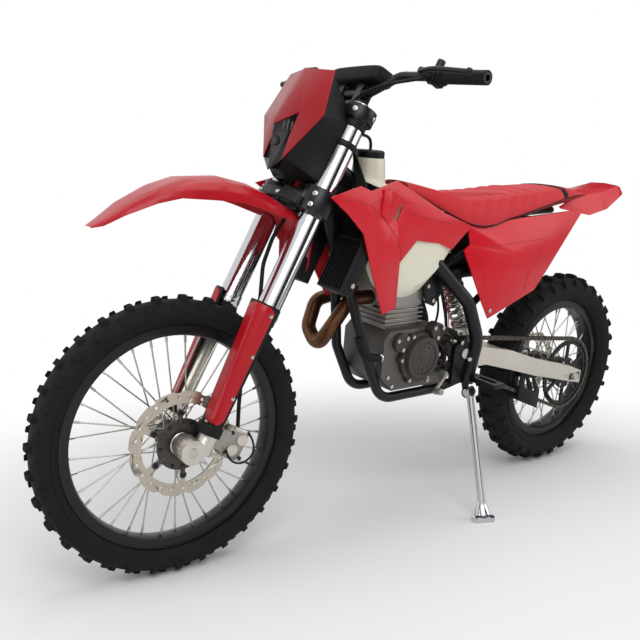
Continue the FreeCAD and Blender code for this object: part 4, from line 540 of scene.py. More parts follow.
def make_materials():
    """Every finish of the machine."""
    for name, colour, rough, metal, scale, strength, spread, more in GRAINED:
        grained(name, linear(*colour), rough, metal, scale, strength, spread, **more)
    for name, share, coat in REDS:
        # A share below one darkens the same red as painted shade
        colour = tuple(value * share for value in settings().plastic_red)
        grained(name, colour, 0.3, coat=coat, coat_rough=0.06, scale=260, strength=0.02, spread=0.05, cloud=4,
                specular=0.22)
    seat = grained("seat_red", tuple(settings().cover_red), 0.6, scale=40, strength=0.05, spread=0.06, sheen=0.05,
                   specular=0.25)
    seat.bump(seat.cells(420.0), 0.35, 0.0005)
    grained("cream_tank", tuple(settings().tank_cream), 0.42, coat=0.1, scale=70, strength=0.05, spread=0.04, cloud=6)
    heat = Finish("heat_steel", linear(*STEEL), 0.34, 0.9)
    heat.feed("Base Color", heat.mix(heat.noise(22.0, 4.0), linear(*BURNT), linear(*TANNED)))
    heat.feed("Roughness", heat.noise(60.0) * 0.3 + 0.22)
    heat.bump(heat.noise(500.0), 0.1, GRAIN_DEPTH)
    MATERIALS["heat_steel"] = heat.material


# Wheels

TREAD_PITCHES = 32
FRONT_TYRE = {"tip": FRONT_RADIUS, "width": 88.0, "flange": 280.0, "bed": 252.0, "rim": 48.0}
REAR_TYRE = {"tip": REAR_RADIUS, "width": 114.0, "flange": 243.0, "bed": 214.0, "rim": 60.0}
CARCASS_SHARES = [(0.03, 0.62), (0.10, 0.74), (0.22, 0.86), (0.27, 0.89), (0.29, 0.86), (0.36, 0.90), (0.50, 0.935),
                  (0.62, 0.86), (0.72, 0.73), (0.785, 0.52), (0.81, 0.28), (0.815, 0.0)]
MIDDLE_LUG_SHARES = [(0.72, 0.04, 0.45), (0.99, 0.06, 0.33)]
SHOULDER_LUG_SHARES = [(0.60, 0.70), (0.885, 0.63), (0.70, 1.0), (0.52, 0.92)]
SPOKES = 36
SPOKE_CROSS = math.radians(50)
NIPPLE_RADIUS, NIPPLE_LENGTH, SPOKE_HEAD_RADIUS = 3.3, 16, 3.2
# Shares of a screw head's radius that its rounding and its socket have, and how far the socket stands out
HEAD_ROUNDING, SOCKET_SHARE, SOCKET_RISE = 0.18, 0.5, 0.25
# End, finish, the flanges' radius and place with the rim's bed, and the outline of radius and place
HUBS = [("front", "radiator_alloy", (34, 30, 252),
         [(12.2, -48), (22, -48), (22, -36), (33, -33), (34, -27), (24, -24), (20, -16), (20, 16), (24, 24), (34, 27),
          (34, 33), (30, 38), (42, 50), (42, 55.9), (12.2, 55.9)]),
        ("rear", "anodised_black", (48, 34, 214),
         [(12.2, -63.9), (42, -63.9), (42, -59), (34, -50), (48, -37), (48, -31), (34, -28), (30, -18), (30, 18),
          (34, 28), (48, 31), (48, 70.9), (12.2, 70.9)])]
FRONT_SEAL = [(13, 55), (30, 55), (30, 63), (26, 65), (24, 62), (13, 62)]
REAR_SEAL = [(14, 76.5), (31, 76.5), (31, 79.5), (27, 82.5), (14, 82.5)]
CARRIER_FLANGE = [(30, 60.2), (63, 60.2), (64, 61.2), (63, 62.4), (48, 63.4), (30, 63.4)]
CARRIER_ARMS = 6
# On each arm of the carrier: distance from the axle and place along Y of both ends, and what rod needs then
CARRIER_PADS = [((78, 60.2), (78, 62.6), 9.0, 32, 0.5), ((52, 61.4), (74, 61.4), 7.0, 16, 0.0, 4.5)]
# Distance from the axle, turn past the arm, both ends along Y, and what rod needs then
CARRIER_RIVETS = [(78, 0, 62.4, 64.2, 5.6, 24, 0.6), (55, 0.5, 62.6, 64.8, 4.2, 20, 0.5)]


def shaped_block(corner_at, bevel):
    """A block whose eight corners are placed by a rule, with rounded edges."""
    clear()
    bpy.ops.mesh.primitive_cube_add(size=1)
    piece = bpy.context.object
    for vertex in piece.data.vertices:
        vertex.co = corner_at(*(value > 0 for value in vertex.co))
    in_edit(piece, lambda: bpy.ops.mesh.normals_make_consistent(inside=False))
    return bevelled(piece, bevel, 2, 25)


def tread_point(radius, place, along, turn):
    """A point of the tread: radius, place along the axle, way round the tyre and turn."""
    return Vector((radius * math.cos(turn) - along * math.sin(turn), place,
                   radius * math.sin(turn) + along * math.cos(turn)))


def make_lugs(tyre):
    """One pitch of the tread: two middle lugs and a lug on each shoulder."""
    depth = tyre["tip"] - tyre["flange"]
    half = tyre["width"] / 2
    step = 2 * math.pi / TREAD_PITCHES

    def middle_at(ahead, outer, top):
        out, inner_share, outer_share = MIDDLE_LUG_SHARES[1 if top else 0]
        fall = 0.035 if top and outer else 0.0
        along = (settings().lug_length / MM / 2 - (1.2 if top else 0)) * (1 if ahead else -1)
        return tread_point(tyre["flange"] + (out - fall) * depth, half * (outer_share if outer else inner_share),
                           along, 0)

    def shoulder_at(ahead, outer, top):
        out, side = SHOULDER_LUG_SHARES[(2 if outer else 1) if top else (3 if outer else 0)]
        along = (settings().lug_length / MM / 2 - (1.5 if top else -1.5)) * (1 if ahead else -1)
        return tread_point(tyre["flange"] + out * depth, half * side, along, step / 2)

    return joined([pair(shaped_block(middle_at, 1.2)), pair(shaped_block(shoulder_at, 1.4))])


def make_tyre(name, tyre, body):
    """A knobbly tyre with its sidewall rings."""
    depth = tyre["tip"] - tyre["flange"]
    half = tyre["width"] / 2
    bead = tyre["rim"] / 2 - 5
    outline = [(tyre["bed"] + 13, bead), (tyre["flange"] + 1, bead), (tyre["flange"] + 1.5, tyre["rim"] / 2)]
    outline += [(tyre["flange"] + out * depth, side * half) for out, side in CARCASS_SHARES]
    outline += [(radius, -place) for radius, place in reversed(outline[:-1])]
    knobbly = joined([turned(outline, 128), around(make_lugs(tyre), TREAD_PITCHES)])
    finish(knobbly, name + "_rubber", body, "tyre_rubber", (name,), 28)


def make_spokes(name, body, flange_radius, flange_place, bed):
    """Crossed spokes with nipples, between both hub flanges and the rim."""
    wires = []
    for index, at_rim in enumerate(evenly(SPOKES)):
        side = 1 if index % 2 else -1
        lean = SPOKE_CROSS if (index // 2) % 2 else -SPOKE_CROSS
        start = spot(flange_radius - 4, at_rim + lean, side * flange_place)
        end = spot(bed - 1, at_rim, side * 6)
        knee = end + (start - end).normalized() * NIPPLE_LENGTH
        wires.append(rod(start, end, settings().spoke_radius / MM, 12))
        wires.append(rod(knee, end, NIPPLE_RADIUS, 8))
        wires.append(rod(start - Y_AXIS * 5 * side, start + Y_AXIS * 3 * side, SPOKE_HEAD_RADIUS, 8))
    finish(joined(wires), name, body, "bright_steel")


def make_bolts(name, places, radius, height, body, material="bright_steel"):
    """Round screw heads with a socket, each at a place with its direction."""
    heads = []
    for place, way in places:
        place, way = Vector(place), Vector(way).normalized()
        heads.append(rod(place, place + way * height, radius, 20, radius * HEAD_ROUNDING))
        socket = place + way * (height + SOCKET_RISE)
        heads.append(rod(place + way * height * 0.9, socket, radius * SOCKET_SHARE, 6))
    finish(joined(heads), name, body, material)


def ring_of_bolts(centre, face, radius, turns):
    """Places on a circle about Y, facing left."""
    return [(Vector((centre.x, face, centre.z)) + spot(radius, turn), Y_AXIS) for turn in turns]


def make_disc_carrier():
    """The spider that carries the front brake disc, with an arm to each of the disc's spokes."""
    pads, rivets = [bevelled(turned(CARRIER_FLANGE, 72), 0.4)], []
    for turn in evenly(CARRIER_ARMS):
        for (near, low), (far, high), *rest in CARRIER_PADS:
            pads.append(rod(spot(near, turn, low), spot(far, turn, high), *rest))
        for radius, shift, low, high, *rest in CARRIER_RIVETS:
            rivets.append(rod(spot(radius, turn + shift, low), spot(radius, turn + shift, high), *rest))
    finish(joined(pads), "front_disc_carrier", "front_wheel", "bronze_grey")
    finish(joined(rivets), "front_disc_rivets", "front_wheel", "black_steel")


def make_wheels():
    """Both wheels, from the tyres in to the hubs."""
    make_tyre("front_tyre", FRONT_TYRE, "front_wheel")
    make_tyre("rear_tyre", REAR_TYRE, "rear_wheel")
    for end, material, spokes, outline in HUBS:
        shell = bevelled(turned(outline, 64), 0.8, 2, 40)
        finish(shell, end + "_hub_shell", end + "_wheel", material, (end + "_hub",))
        make_spokes(end + "_spokes", end + "_wheel", *spokes)
    make_bolts("front_disc_bolts", ring_of_bolts(ORIGIN, 60, 35, evenly(6)), 6.0, 3.0, "front_wheel", "anodised_black")
    finish(bevelled(turned(FRONT_SEAL, 64), 0.5), "front_hub_seal", "front_wheel", "bright_steel")
    make_disc_carrier()


# Seat, in the machine's upright frame

SEAT_BACK, SEAT_LENGTH, SEAT_HALF, SEAT_TOP, SEAT_DEPTH = 22.0, 800.0, 125.0, 978.0, 118.0
SEAT_STATIONS = [(0.00, .52, .82, .72), (.13, .72, .95, .69), (.33, .88, .89, .46), (.56, .96, .75, .16),
                 (.65, 1.0, .72, .02), (.75, .96, .70, .05), (.87, .78, .86, .36), (1.0, .46, 1.0, .78)]
PLEAT_FIRST, PLEAT_STEP = 290.0, 55.0
# Shares of the way round a half section and of its width, and the fall of the crown in millimetres
SEAT_CREASE, SEAT_EDGE, SEAT_FALL = 0.55, 0.84, 7.0
# How sharply the crown falls, the part of a half turn that the side rolls through, and where a pleat ends in its step
CROWN_POWER, SIDE_ROLL, PLEAT_PART = 2.4, math.pi * 0.6, 0.82
# Sides of the piping by v, ends of the strap by u, and how far both lie above the cover
PIPING_SIDES, PIPING_RISE, STRAP_ENDS, STRAP_RISE = (0.004, 0.996), 1.5, (0.165, 0.195), 1.6


def blend_rows(rows, share):
    """The values at a share of the way, on a smooth curve through the rows."""
    index = max(i for i in range(len(rows) - 1) if rows[i][0] <= share or i == 0)
    before, start = rows[max(index - 1, 0)], rows[index]
    end, after = rows[index + 1], rows[min(index + 2, len(rows) - 1)]
    t = (share - start[0]) / (end[0] - start[0])
    values = []
    for p0, p1, p2, p3 in zip(before[1:], start[1:], end[1:], after[1:]):
        m1, m2 = (p2 - p0) * 0.5, (p3 - p1) * 0.5
        values.append((2 * t ** 3 - 3 * t ** 2 + 1) * p1 + (t ** 3 - 2 * t ** 2 + t) * m1
                      + (-2 * t ** 3 + 3 * t ** 2) * p2 + (t ** 3 - t ** 2) * m2)
    return values


def pleat_rise(x, drop):
    """How far a pleat stands out of the cover at a place and a depth below the edge."""
    way = (x - drop * 0.62 - PLEAT_FIRST) / PLEAT_STEP
    count = settings().pleat_count
    if way < 0 or way > count:
        return 0.0
    part = way % 1
    rise = math.sin(math.pi * min(part / PLEAT_PART, 1.0)) ** 0.8 if part < PLEAT_PART else 0.0
    ends = min(1.0, way * 2, (count - way) * 2)
    return settings().pleat_height / MM * rise * ends


def seat_point(u, v):
    """A point of the seat cover: from tail to tank, and round from the left edge over the top."""
    width, top, low = blend_rows(SEAT_STATIONS, u)
    x = SEAT_BACK + u * SEAT_LENGTH
    half = width * SEAT_HALF
    edge = half * SEAT_EDGE
    low_z = SEAT_TOP - SEAT_DEPTH * (1 - low)
    top_z = SEAT_TOP - SEAT_DEPTH * (1 - top)
    crown = top_z - (top_z - low_z) * 0.03
    side = 1 if v < 0.5 else -1
    way = abs(v - 0.5) * 2
    if way < SEAT_CREASE:
        share = way / SEAT_CREASE
        y = edge * share
        z = crown - SEAT_FALL * share ** CROWN_POWER + pleat_rise(x, 0) * (1 - 0.35 * (1 - share))
    else:
        share = (way - SEAT_CREASE) / (1 - SEAT_CREASE)
        drop = (crown - SEAT_FALL - low_z) * share
        rise = pleat_rise(x, drop) * max(0.0, 1 - share * 0.9)
        y = edge + (half - edge) * math.sin(share * SIDE_ROLL) / math.sin(SIDE_ROLL) + rise * 0.9 - 3
        z = crown - SEAT_FALL - drop + rise * 0.4 * (1 - share)
    return Vector((x, side * y, z))


def make_seat():
    """The pleated seat with its piping and the strap behind."""
    cover = capped(sheet(200, 72, seat_point, seam=False))
    modify(cover, "SMOOTH", factor=0.5, iterations=2)
    seat = finish(cover, "seat_cover", "chassis", "seat_red", ("seat",), 60)
    edges = [cable([seat_point(u / 40, side) + Vector((0, 0, PIPING_RISE)) for u in range(41)], 1.8, 3)
             for side in PIPING_SIDES]
    finish(joined(edges), "seat_piping", "chassis", "black_rubber")
    strap = [[seat_point(u, v / 40) + Vector((0, 1.2 * ((v < 20) - (v > 20)), STRAP_RISE)) for v in range(1, 40)]
             for u in STRAP_ENDS]
    band = sheet(1, 38, lambda a, b: strap[round(a)][round(b * 38)], seam=False)
    modify(band, "SOLIDIFY", thickness=2.0, offset=1)
    finish(bevelled(band, 0.5), "seat_strap", "chassis", "bar_pad_cloth")


# Bar pad, switches and cables, in the fork's frame

PAD_HALF, PAD_DEPTH, PAD_LOW, PAD_HEIGHT = 104.0, 66.0, 987.3, 45.7
PAD_REACH, PAD_POWER = 0.985, 0.42
# Shares of the pad's half depth and half height that its ends have, and what is added towards its middle
PAD_DEPTH_SHARES, PAD_HEIGHT_SHARES, PAD_CROWN = (0.80, 0.17), (0.72, 0.22), 0.06
# Share of the half length where the hem draws the pad in, how wide that groove is and how deep
HEM_PLACE, HEM_WIDTH, HEM_DEPTH = 0.86, 0.02, 0.035
# The seams by u, their radius, and how far they stand out as a share of the section
SEAM_PLACES, SEAM_RADIUS, SEAM_RISE = (0.07, 0.93), 0.9, 0.012
SWITCH_BARREL = ((-28, 250, 1019.4), (-33, 282, 1020.4), 19.0, 32, 2.5)
SWITCH_BOX = ((-44, 254, 998), (-20, 278, 1012), 3)
STEERING_NUT = ((0, 0, 914), (0, 0, 926), 17.0, 6, 1.0)
CABLE_RADIUS, CABLE_GAP = 3.6, 9
# Forward place, place along the bar and height of a cable on its way down from the left switch housing
CABLE_START = [(-10, 262, 1010), (12, 205, 990), (30, 140, 968)]
CABLE_END = [(44, 92, 930), (48, 62, 880), (44, 42, 800), (38, 34, 730)]


def pad_centre(u):
    """The middle of the bar pad's section."""
    return Vector((0, (u - 0.5) * 2 * PAD_HALF * PAD_REACH, PAD_LOW + PAD_HEIGHT / 2))


def pad_point(u, v):
    """A point of the bar pad: across the machine, and round its section."""
    across = (u - 0.5) * 2
    swell = (1 - abs(across) ** 6) ** 0.5
    turn = 2 * math.pi * v
    ahead, up = (math.copysign(abs(way) ** PAD_POWER, way) for way in (math.cos(turn), math.sin(turn)))
    crown = 1 + PAD_CROWN * math.cos(math.pi * across / 2)
    hem = 1 - HEM_DEPTH * max(0.0, 1 - ((abs(across) - HEM_PLACE) / HEM_WIDTH) ** 2)
    half_depth = PAD_DEPTH / 2 * (PAD_DEPTH_SHARES[0] + PAD_DEPTH_SHARES[1] * swell) * hem
    half_height = PAD_HEIGHT / 2 * (PAD_HEIGHT_SHARES[0] + PAD_HEIGHT_SHARES[1] * swell) * crown * hem
    return Vector((ahead * half_depth, across * PAD_HALF * PAD_REACH, PAD_LOW + PAD_HEIGHT / 2 + up * half_height))


def make_bar_pad():
    """The soft pad over the handlebar with its sewn ends."""
    pad = capped(sheet(96, 64, pad_point))
    cover = finish(pad, "bar_pad_cover", "steering", "bar_pad_cloth", ("bar_pad",), 60)
    seams = []
    for u in SEAM_PLACES:
        ring = [pad_point(u, v / 48) for v in range(49)]
        seams.append(cable([point + (point - pad_centre(u)) * SEAM_RISE for point in ring], SEAM_RADIUS, 2))
    finish(joined(seams), "bar_pad_seams", "steering", "black_rubber")


def make_controls():
    """The steering nut, and the switch housings with the cables that run down before the steering head."""
    housings = [rod(*SWITCH_BARREL), block(*SWITCH_BOX)]
    finish(pair(joined(housings)), "switch_housings", "steering", "moulded_black")
    cables = []
    for side in (1, -1):
        for shift in (0, CABLE_GAP):
            path = [(x + shift, side * y, z - shift) for x, y, z in CABLE_START]
            cables.append(cable(path + [(x, side * y, z) for x, y, z in CABLE_END], CABLE_RADIUS))
    finish(joined(cables), "control_cables", "steering", "black_rubber")
    finish(rod(*STEERING_NUT), "steering_nut", "steering", "bright_steel")


# Fork guards, in the fork's frame

LEG_FORWARD, LEG_LEFT = 22.0, 98.0
GUARD_LOW, GUARD_HIGH, GUARD_FOOT, GUARD_FRONT, GUARD_LEFT = 48.0, 384.0, 44.0, 62.0, 128.0
GUARD_SHARES = [(-0.35, 1.0), (0.1, 1.0), (0.55, 1.0), (0.80, 0.74), (1.0, 0.45), (1.0, -0.1), (1.0, -0.70)]


def guard_point(share, u, proud):
    """A point of the guard's outside, raised by a small amount."""
    ahead, out = along_rows(GUARD_SHARES, u)
    reach = GUARD_FOOT + (GUARD_FRONT - GUARD_FOOT) * share - LEG_FORWARD
    side = (GUARD_LEFT - LEG_LEFT) * (1 + 0.06 * share)
    push = Vector((max(ahead, 0), max(out, 0), 0))
    push = push.normalized() * proud if push.length else Vector((proud, 0, 0))
    height = GUARD_LOW + (GUARD_HIGH - GUARD_LOW) * share
    return Vector((LEG_FORWARD + ahead * reach, LEG_LEFT + out * side, height)) + push


def panel_point(u, v):
    """A point of the red panel, which covers the guard between rounded ends."""
    corner = max(0.0, abs(u - 0.5) * 2 - 0.55) / 0.45
    low = 0.09 + 0.05 * corner ** 2
    high = 0.985 - 0.03 * corner ** 2
    return guard_point(low + (high - low) * v, 0.10 + 0.86 * u, 0.6)


def make_fork_guards():
    """Black fork guards with a red panel on the front and the side of each."""
    dressed("fork_guards", "moulded_black", 0.0008)
    panel = walled(24, 14, panel_point, 1.6, 0.5, offset=-1)
    # The panels take the darker copy of the bodywork red, which is painted shade
    finish(pair(panel), "fork_guard_panels", "steering", "shaded_red", (), 40)
    bolts = []
    for share in (0.30, 0.62, 0.93):
        x, y, z = guard_point(share, 0.16, 2.0)
        bolts += [((x, side * y, z), (0, side, 0)) for side in (1, -1)]
    make_bolts("fork_guard_bolts", bolts, 5.0, 2.2, "steering")


# Chain, in the machine's upright frame

CHAIN_PITCH, REAR_TEETH, FRONT_TEETH, CHAIN_PLACE = 15.875, 48, 13, 74.0
PLATE_WAIST, PIN_RADIUS, PIN_HALF, ROLLER_RADIUS, ROLLER_HALF = 4.0, 2.6, 8.3, 4.5, 3.3
# Thickness, place along Y and radius of the links' side plates
INNER_PLATES = [(1.6, -4.2, 6.8), (1.6, 4.2, 6.8)]
OUTER_PLATES = [(1.6, -6.2, 6.6), (1.6, 6.2, 6.6)]
OUTPUT_SHAFT = Vector((650.0, 0, 498.0))


def chain_path(way):
    """The point this share of the way round the chain's pins, and the length of the whole way."""
    big = CHAIN_PITCH / (2 * math.sin(math.pi / REAR_TEETH))
    small = CHAIN_PITCH / (2 * math.sin(math.pi / FRONT_TEETH))
    front = OUTPUT_SHAFT + Vector((0, CHAIN_PLACE, 0))
    rear = Vector((0, CHAIN_PLACE, REAR_RADIUS))
    run = front - rear
    tilt = math.atan2(run.z, run.x)
    wedge = math.asin((big - small) / run.length)
    over, under = tilt + math.pi / 2 - wedge, tilt - math.pi / 2 + wedge

    def at(centre, radius, angle):
        return centre + spot(radius, angle)

    straight = (at(front, small, over) - at(rear, big, over)).length
    nose = small * (over - under)
    back = big * (2 * math.pi - over + under)
    total = 2 * straight + nose + back
    way = (way % 1) * total
    if way < straight:
        return at(rear, big, over).lerp(at(front, small, over), way / straight), total
    way -= straight
    if way < nose:
        return at(front, small, over - way / small), total
    way -= nose
    if way < straight:
        return at(front, small, under).lerp(at(rear, big, under), way / straight), total
    return at(rear, big, under - (way - straight) / big), total


def link_plate(thick, place, radius):
    """A chain side plate, two round ends joined by a waist, one pitch long along X."""
    outline = []
    for end in (1, -1):
        for step in range(7):
            turn = math.pi * step / 6 - math.pi / 2 * end
            outline.append((end * CHAIN_PITCH / 2 + radius * math.cos(turn), radius * math.sin(turn)))
        outline.append((0, end * PLATE_WAIST))
    return flat_plate(outline, place - thick / 2, place + thick / 2)


def make_chain():
    """The drive chain with its plates, rollers and pins."""
    links = 2 * round(chain_path(0)[1] / CHAIN_PITCH / 2)
    inner, outer = (joined([link_plate(*plate) for plate in plates]) for plates in (INNER_PLATES, OUTER_PLATES))
    pin = joined([rod(Y_AXIS * -PIN_HALF, Y_AXIS * PIN_HALF, PIN_RADIUS, 8),
                  rod(Y_AXIS * -ROLLER_HALF, Y_AXIS * ROLLER_HALF, ROLLER_RADIUS, 10)])
    made = []
    for index in range(links):
        start, end = chain_path(index / links)[0], chain_path((index + 1) / links)[0]
        run = end - start
        turn = Matrix.Translation((start + end) / 2) @ Matrix.Rotation(-math.atan2(run.z, run.x), 4, "Y")
        made.append(copy_of(outer if index % 2 else inner, turn))
        made.append(copy_of(pin, Matrix.Translation(start)))
    for spare in (inner, outer, pin):
        bpy.data.objects.remove(spare)
    finish(joined(made), "chain_links", "chassis", "chain_steel", ("drive_chain",), 30)


# Engine trim, in the machine's upright frame

CRANK, CASE_HALF, COVER_DEPTH, COVER_RADIUS = Vector((752.0, 0, 490.0)), 84.0, 30.0, 60.0
COVER_FACE = CASE_HALF + COVER_DEPTH
IDLER, STARTER = Vector((706, 0, 566)), Vector((828, 0, 540))
COVER_MIDDLE = CASE_HALF + COVER_DEPTH / 2
# Centre, place along Y, radius and turns of each ring of screws
SCREW_RINGS = [(CRANK, COVER_MIDDLE, COVER_RADIUS + 13, evenly(6)), (IDLER, COVER_FACE, 19, (0.6, 2.7, 4.8)),
               (STARTER, COVER_MIDDLE, 20, evenly(3, 0.4))]
# Both ends of a rib of the ignition cover, by radius and place along Y
RIBS, RIB_START, RIB_END, RIB_RADIUS = 12, (28, COVER_FACE - 0.4), (44, COVER_FACE - 1.2), 1.4
CASE_SCREWS = [(640, 560), (616, 470), (860, 440), (842, 412), (700, 412)]
DISH_RADIUS, DISH_LOW, DISH_HEIGHT = 46, COVER_FACE - 3, 5.8
DISH_STEPS = [(0.0, 0.0), (1.0, 0.0), (0.98, 0.28), (0.90, 0.35), (0.60, 0.40), (0.56, 0.62), (0.34, 0.66),
              (0.32, 1.0), (0.0, 1.0)]
# Name, finish, and the cords with their radius and their points
HOSES = [
    ("coolant_hoses", "black_rubber",
     [(13, [(905, 52, 760), (880, 60, 742), (840, 64, 735), (806, 62, 722)]),
      (12, [(960, 60, 560), (950, 66, 520), (920, 74, 498), (880, 76, 500)])]),
    ("engine_wires", "black_rubber",
     [(5.0, [(704, 62, 742), (672, 66, 700), (652, 70, 640), (642, 80, 590), (648, 90, 560)]),
      (3.4, [(716, 62, 740), (690, 70, 690), (676, 76, 630), (690, 88, 596), (704, 96, 588)])]),
    ("starter_wires", "shaded_red",
     [(1.5, [(640, 60, 700), (622, 62, 650), (612, 58, 600), (604, 62, 550)]),
      (1.5, [(648, 64, 690), (634, 66, 640), (618, 60, 590), (612, 64, 548)])]),
]
HOSE_CLIPS = [((812, 62, 724), (820, 62.4, 727), 14.4, 32, 0.6), ((884, 76, 500), (892, 76, 499), 13.4, 32, 0.6)]
BREATHER = [(925, 0, 1054), (925, 2, 1078), (950, 4, 1092), (985, 4, 1088), (1002, 2, 1070)]


def make_engine_trim():
    """The engine's covers, with screws, the dish of the ignition cover and its ribs."""
    dressed("left_engine_covers", "bronze_grey", 0.0022)
    dressed("right_engine_cover", "bronze_grey", 0.0025)
    screws = [screw for ring in SCREW_RINGS for screw in ring_of_bolts(*ring)]
    screws += [((x, CASE_HALF, z), Y_AXIS) for x, z in CASE_SCREWS]
    make_bolts("engine_screws", screws, 6.0, 5.0, "chassis")
    dish = turned([(DISH_RADIUS * out, DISH_LOW + DISH_HEIGHT * up) for out, up in DISH_STEPS], 64, closed=False)
    dish.data.transform(Matrix.Translation(CRANK))
    finish(weld(bevelled(dish, 0.8, 2, 20)), "ignition_cover_dish", "chassis", "bronze_grey")
    ribs = [rod(*(CRANK + spot(radius, turn, along) for radius, along in (RIB_START, RIB_END)), RIB_RADIUS, 8)
            for turn in evenly(RIBS)]
    finish(joined(ribs), "ignition_cover_ribs", "chassis", "bronze_grey")


def make_hoses():
    """Coolant hoses with their clips, the engine's wires and the tank cap's breather."""
    for name, material, cords in HOSES:
        finish(joined([cable(points, radius) for radius, points in cords]), name, "chassis", material)
        if name == "coolant_hoses":
            clips = joined([rod(*clip) for clip in HOSE_CLIPS])
            finish(clips, "hose_clips", "chassis", "bright_steel")
    finish(cable(BREATHER, 4.0, 10), "cap_breather", "chassis", "black_rubber")


# Bodywork, with places given by X and Z

# Place along Y of the infill's plane at one place along X, how much it widens ahead, and its thickness
INFILL_LEFT, INFILL_FROM, INFILL_WIDENS, INFILL_THICK = 134.8, 960, 0.139, 3
PATCH_FACES, CREASE_RADIUS = (134.7, 132.0), 1.3
INFILL = [(988, 966), (924, 962), (932, 900), (958, 878), (992, 903)]
RADIATOR_CORNER = [(958, 964), (938, 952), (954.5, 911)]
PANEL_CREASES = [[(612, 801), (560, 806), (480, 812), (400, 818), (306, 824)],
                 [(612, 801), (585, 770), (556, 700), (540, 640)],
                 [(306, 824), (330, 770), (372, 722), (380, 660)]]
SHROUD_CREASES = [[(1150, 944), (1080, 936), (1030, 926), (971, 884), (914, 836), (896, 800), (880, 740)],
                  [(1030, 926), (1000, 940), (930, 926), (860, 900), (780, 884), (700, 872)]]
# Where the rays that look for the left face start, and how far left it has to be, along Y
RAY_START, LEAST_LEFT = 190, 80


def laid_on(node, corners, rise=-0.4, step=9.0):
    """A path over the left face of a construction piece, through places given by X and Z."""
    source = frame["nodes"][node]
    back = BIKE.inverted()
    path = []
    for (x0, z0), (x1, z1) in zip(corners, corners[1:]):
        count = max(1, round(math.hypot(x1 - x0, z1 - z0) / step))
        for index in range(count):
            share = index / count
            start = BIKE @ Vector((x0 + (x1 - x0) * share, RAY_START, z0 + (z1 - z0) * share))
            found, place, _, _ = source.ray_cast(start, BIKE.to_3x3() @ -Y_AXIS / MM)
            if found and (back @ place).y > LEAST_LEFT:
                path.append(back @ place + Y_AXIS * rise)
    return path


def make_bodywork_lines():
    """The infill in each shroud's opening, and cords of painted shade along the creases that run over the bodywork."""
    corners = [Vector((x, INFILL_LEFT + INFILL_WIDENS * (x - INFILL_FROM), z)) for x, z in INFILL]
    plate = bevelled(capped(skinned([corners, [corner - Y_AXIS * INFILL_THICK for corner in corners]])), 0.4)
    patch = flat_plate(RADIATOR_CORNER, *PATCH_FACES)
    finish(joined([pair(plate), pair(patch)]), "shroud_infills", "chassis", "gloss_red")
    for node, name, creases in (("side_panels", "side_panel_creases", PANEL_CREASES),
                                ("shrouds", "shroud_creases", SHROUD_CREASES)):
        paths = [laid_on(node, crease) for crease in creases]
        lines = [cable(path, CREASE_RADIUS, 2) for path in paths if len(path) > 2]
        # The crease cords take the darker copy of the bodywork red: painted shade along each crease
        finish(pair(joined(lines)), name, "chassis", "shaded_red", (), 60)


# Cowl, fender brace and lamp, in the fork's frame

MASK_FORWARD, MASK_HALF, MASK_LOW, MASK_HEIGHT = 133.0, 139.0, 712.0, 240.0
COWL_FRONT_SHARES = [(-0.02, 0.66, 0.95), (-0.03, 0.955, 0.49), (-0.03, 0.37, 0.03), (-0.08, 0.0, -0.03)]
COWL_BACK_SHARES = [(-0.54, 0.60, 0.80), (-0.62, 0.80, 0.62), (-0.62, 0.76, -0.05), (-0.55, 0.0, -0.09)]
BRACE_HALF, BRACE_BACK, BRACE_REACH, BRACE_LOW, BRACE_HEIGHT = 97.0, 64.0, 46.0, 629.0, 30.0
LAMP_BARS = [((150.9, 23.3, 780.5), (156.6, 24.2, 801.0)), ((145.2, 33.8, 781.5), (154.0, 34.2, 806.0)),
             ((140.2, 43.0, 784.5), (147.4, 44.4, 804.0))]
# Start, end, radius, corners and rounding of the brake caliper's caps
CALIPER_CAPS = [((-78, 83, 62), (-78, 89, 62), 15.0, 40, 1.2), ((-62, 83, 30), (-62, 89, 30), 15.0, 40, 1.2),
                ((-50, 76, 80), (-96, 76, 80), 7.0, 24, 1.0)]
CALIPER_BOLTS = [(-44, 84, 70), (-44, 84, 20), (-92, 84, 18)]
CALIPER_LOOP = [(-86, 84, 84), (-110, 88, 70), (-122, 92, 36), (-96, 98, 6), (-52, 104, 8), (-34, 106, 30)]
# Name, finish, slot, low and high end, radius and rounding
LEG_RINGS = [("fork_seals", "black_rubber", "rubber", 339, 352, 30.0, 1.0),
             ("fork_wiper_rings", "fork_silver", "fork_silver", 352.2, 368, 31.5, 1.5)]
# Place and direction of the pinch bolts on the left, and of the cap of the fork leg
CLAMP_BOLTS = [((54.0, 124.5, 640.0), (0.77, 0.63, 0)), ((54.0, 124.5, 668.0), (0.77, 0.63, 0)),
               ((54.0, 124.5, 893.0), (0.77, 0.63, 0)), ((1.0, 134.3, 893.0), (-0.5, 0.86, 0)),
               ((LEG_FORWARD, LEG_LEFT, 915.5), (0, 0, 1))]
LENS_CENTRE, LENS_WAY = Vector((150.0, 8.0, 752.7)), Vector((0.83, 0.48, -0.29))


def cowl_point(u, v):
    """A point of the cowl: from the mask's edge back to the fork, and down its side."""
    share = along_rows(COWL_FRONT_SHARES, v).lerp(along_rows(COWL_BACK_SHARES, v), u)
    return Vector((MASK_FORWARD * (1 + share.x), MASK_HALF * share.y, MASK_LOW + MASK_HEIGHT * share.z))


def brace_point(u, v):
    """A point of the fender's brace: across the machine, and up."""
    side = (u - 0.5) * 2
    bow = (1 - abs(side) ** 2.6) ** 0.6
    return Vector((BRACE_BACK + BRACE_REACH * bow * (1 - 0.35 * v), BRACE_HALF * side,
                   BRACE_LOW + BRACE_HEIGHT * v * (0.72 + 0.28 * bow)))


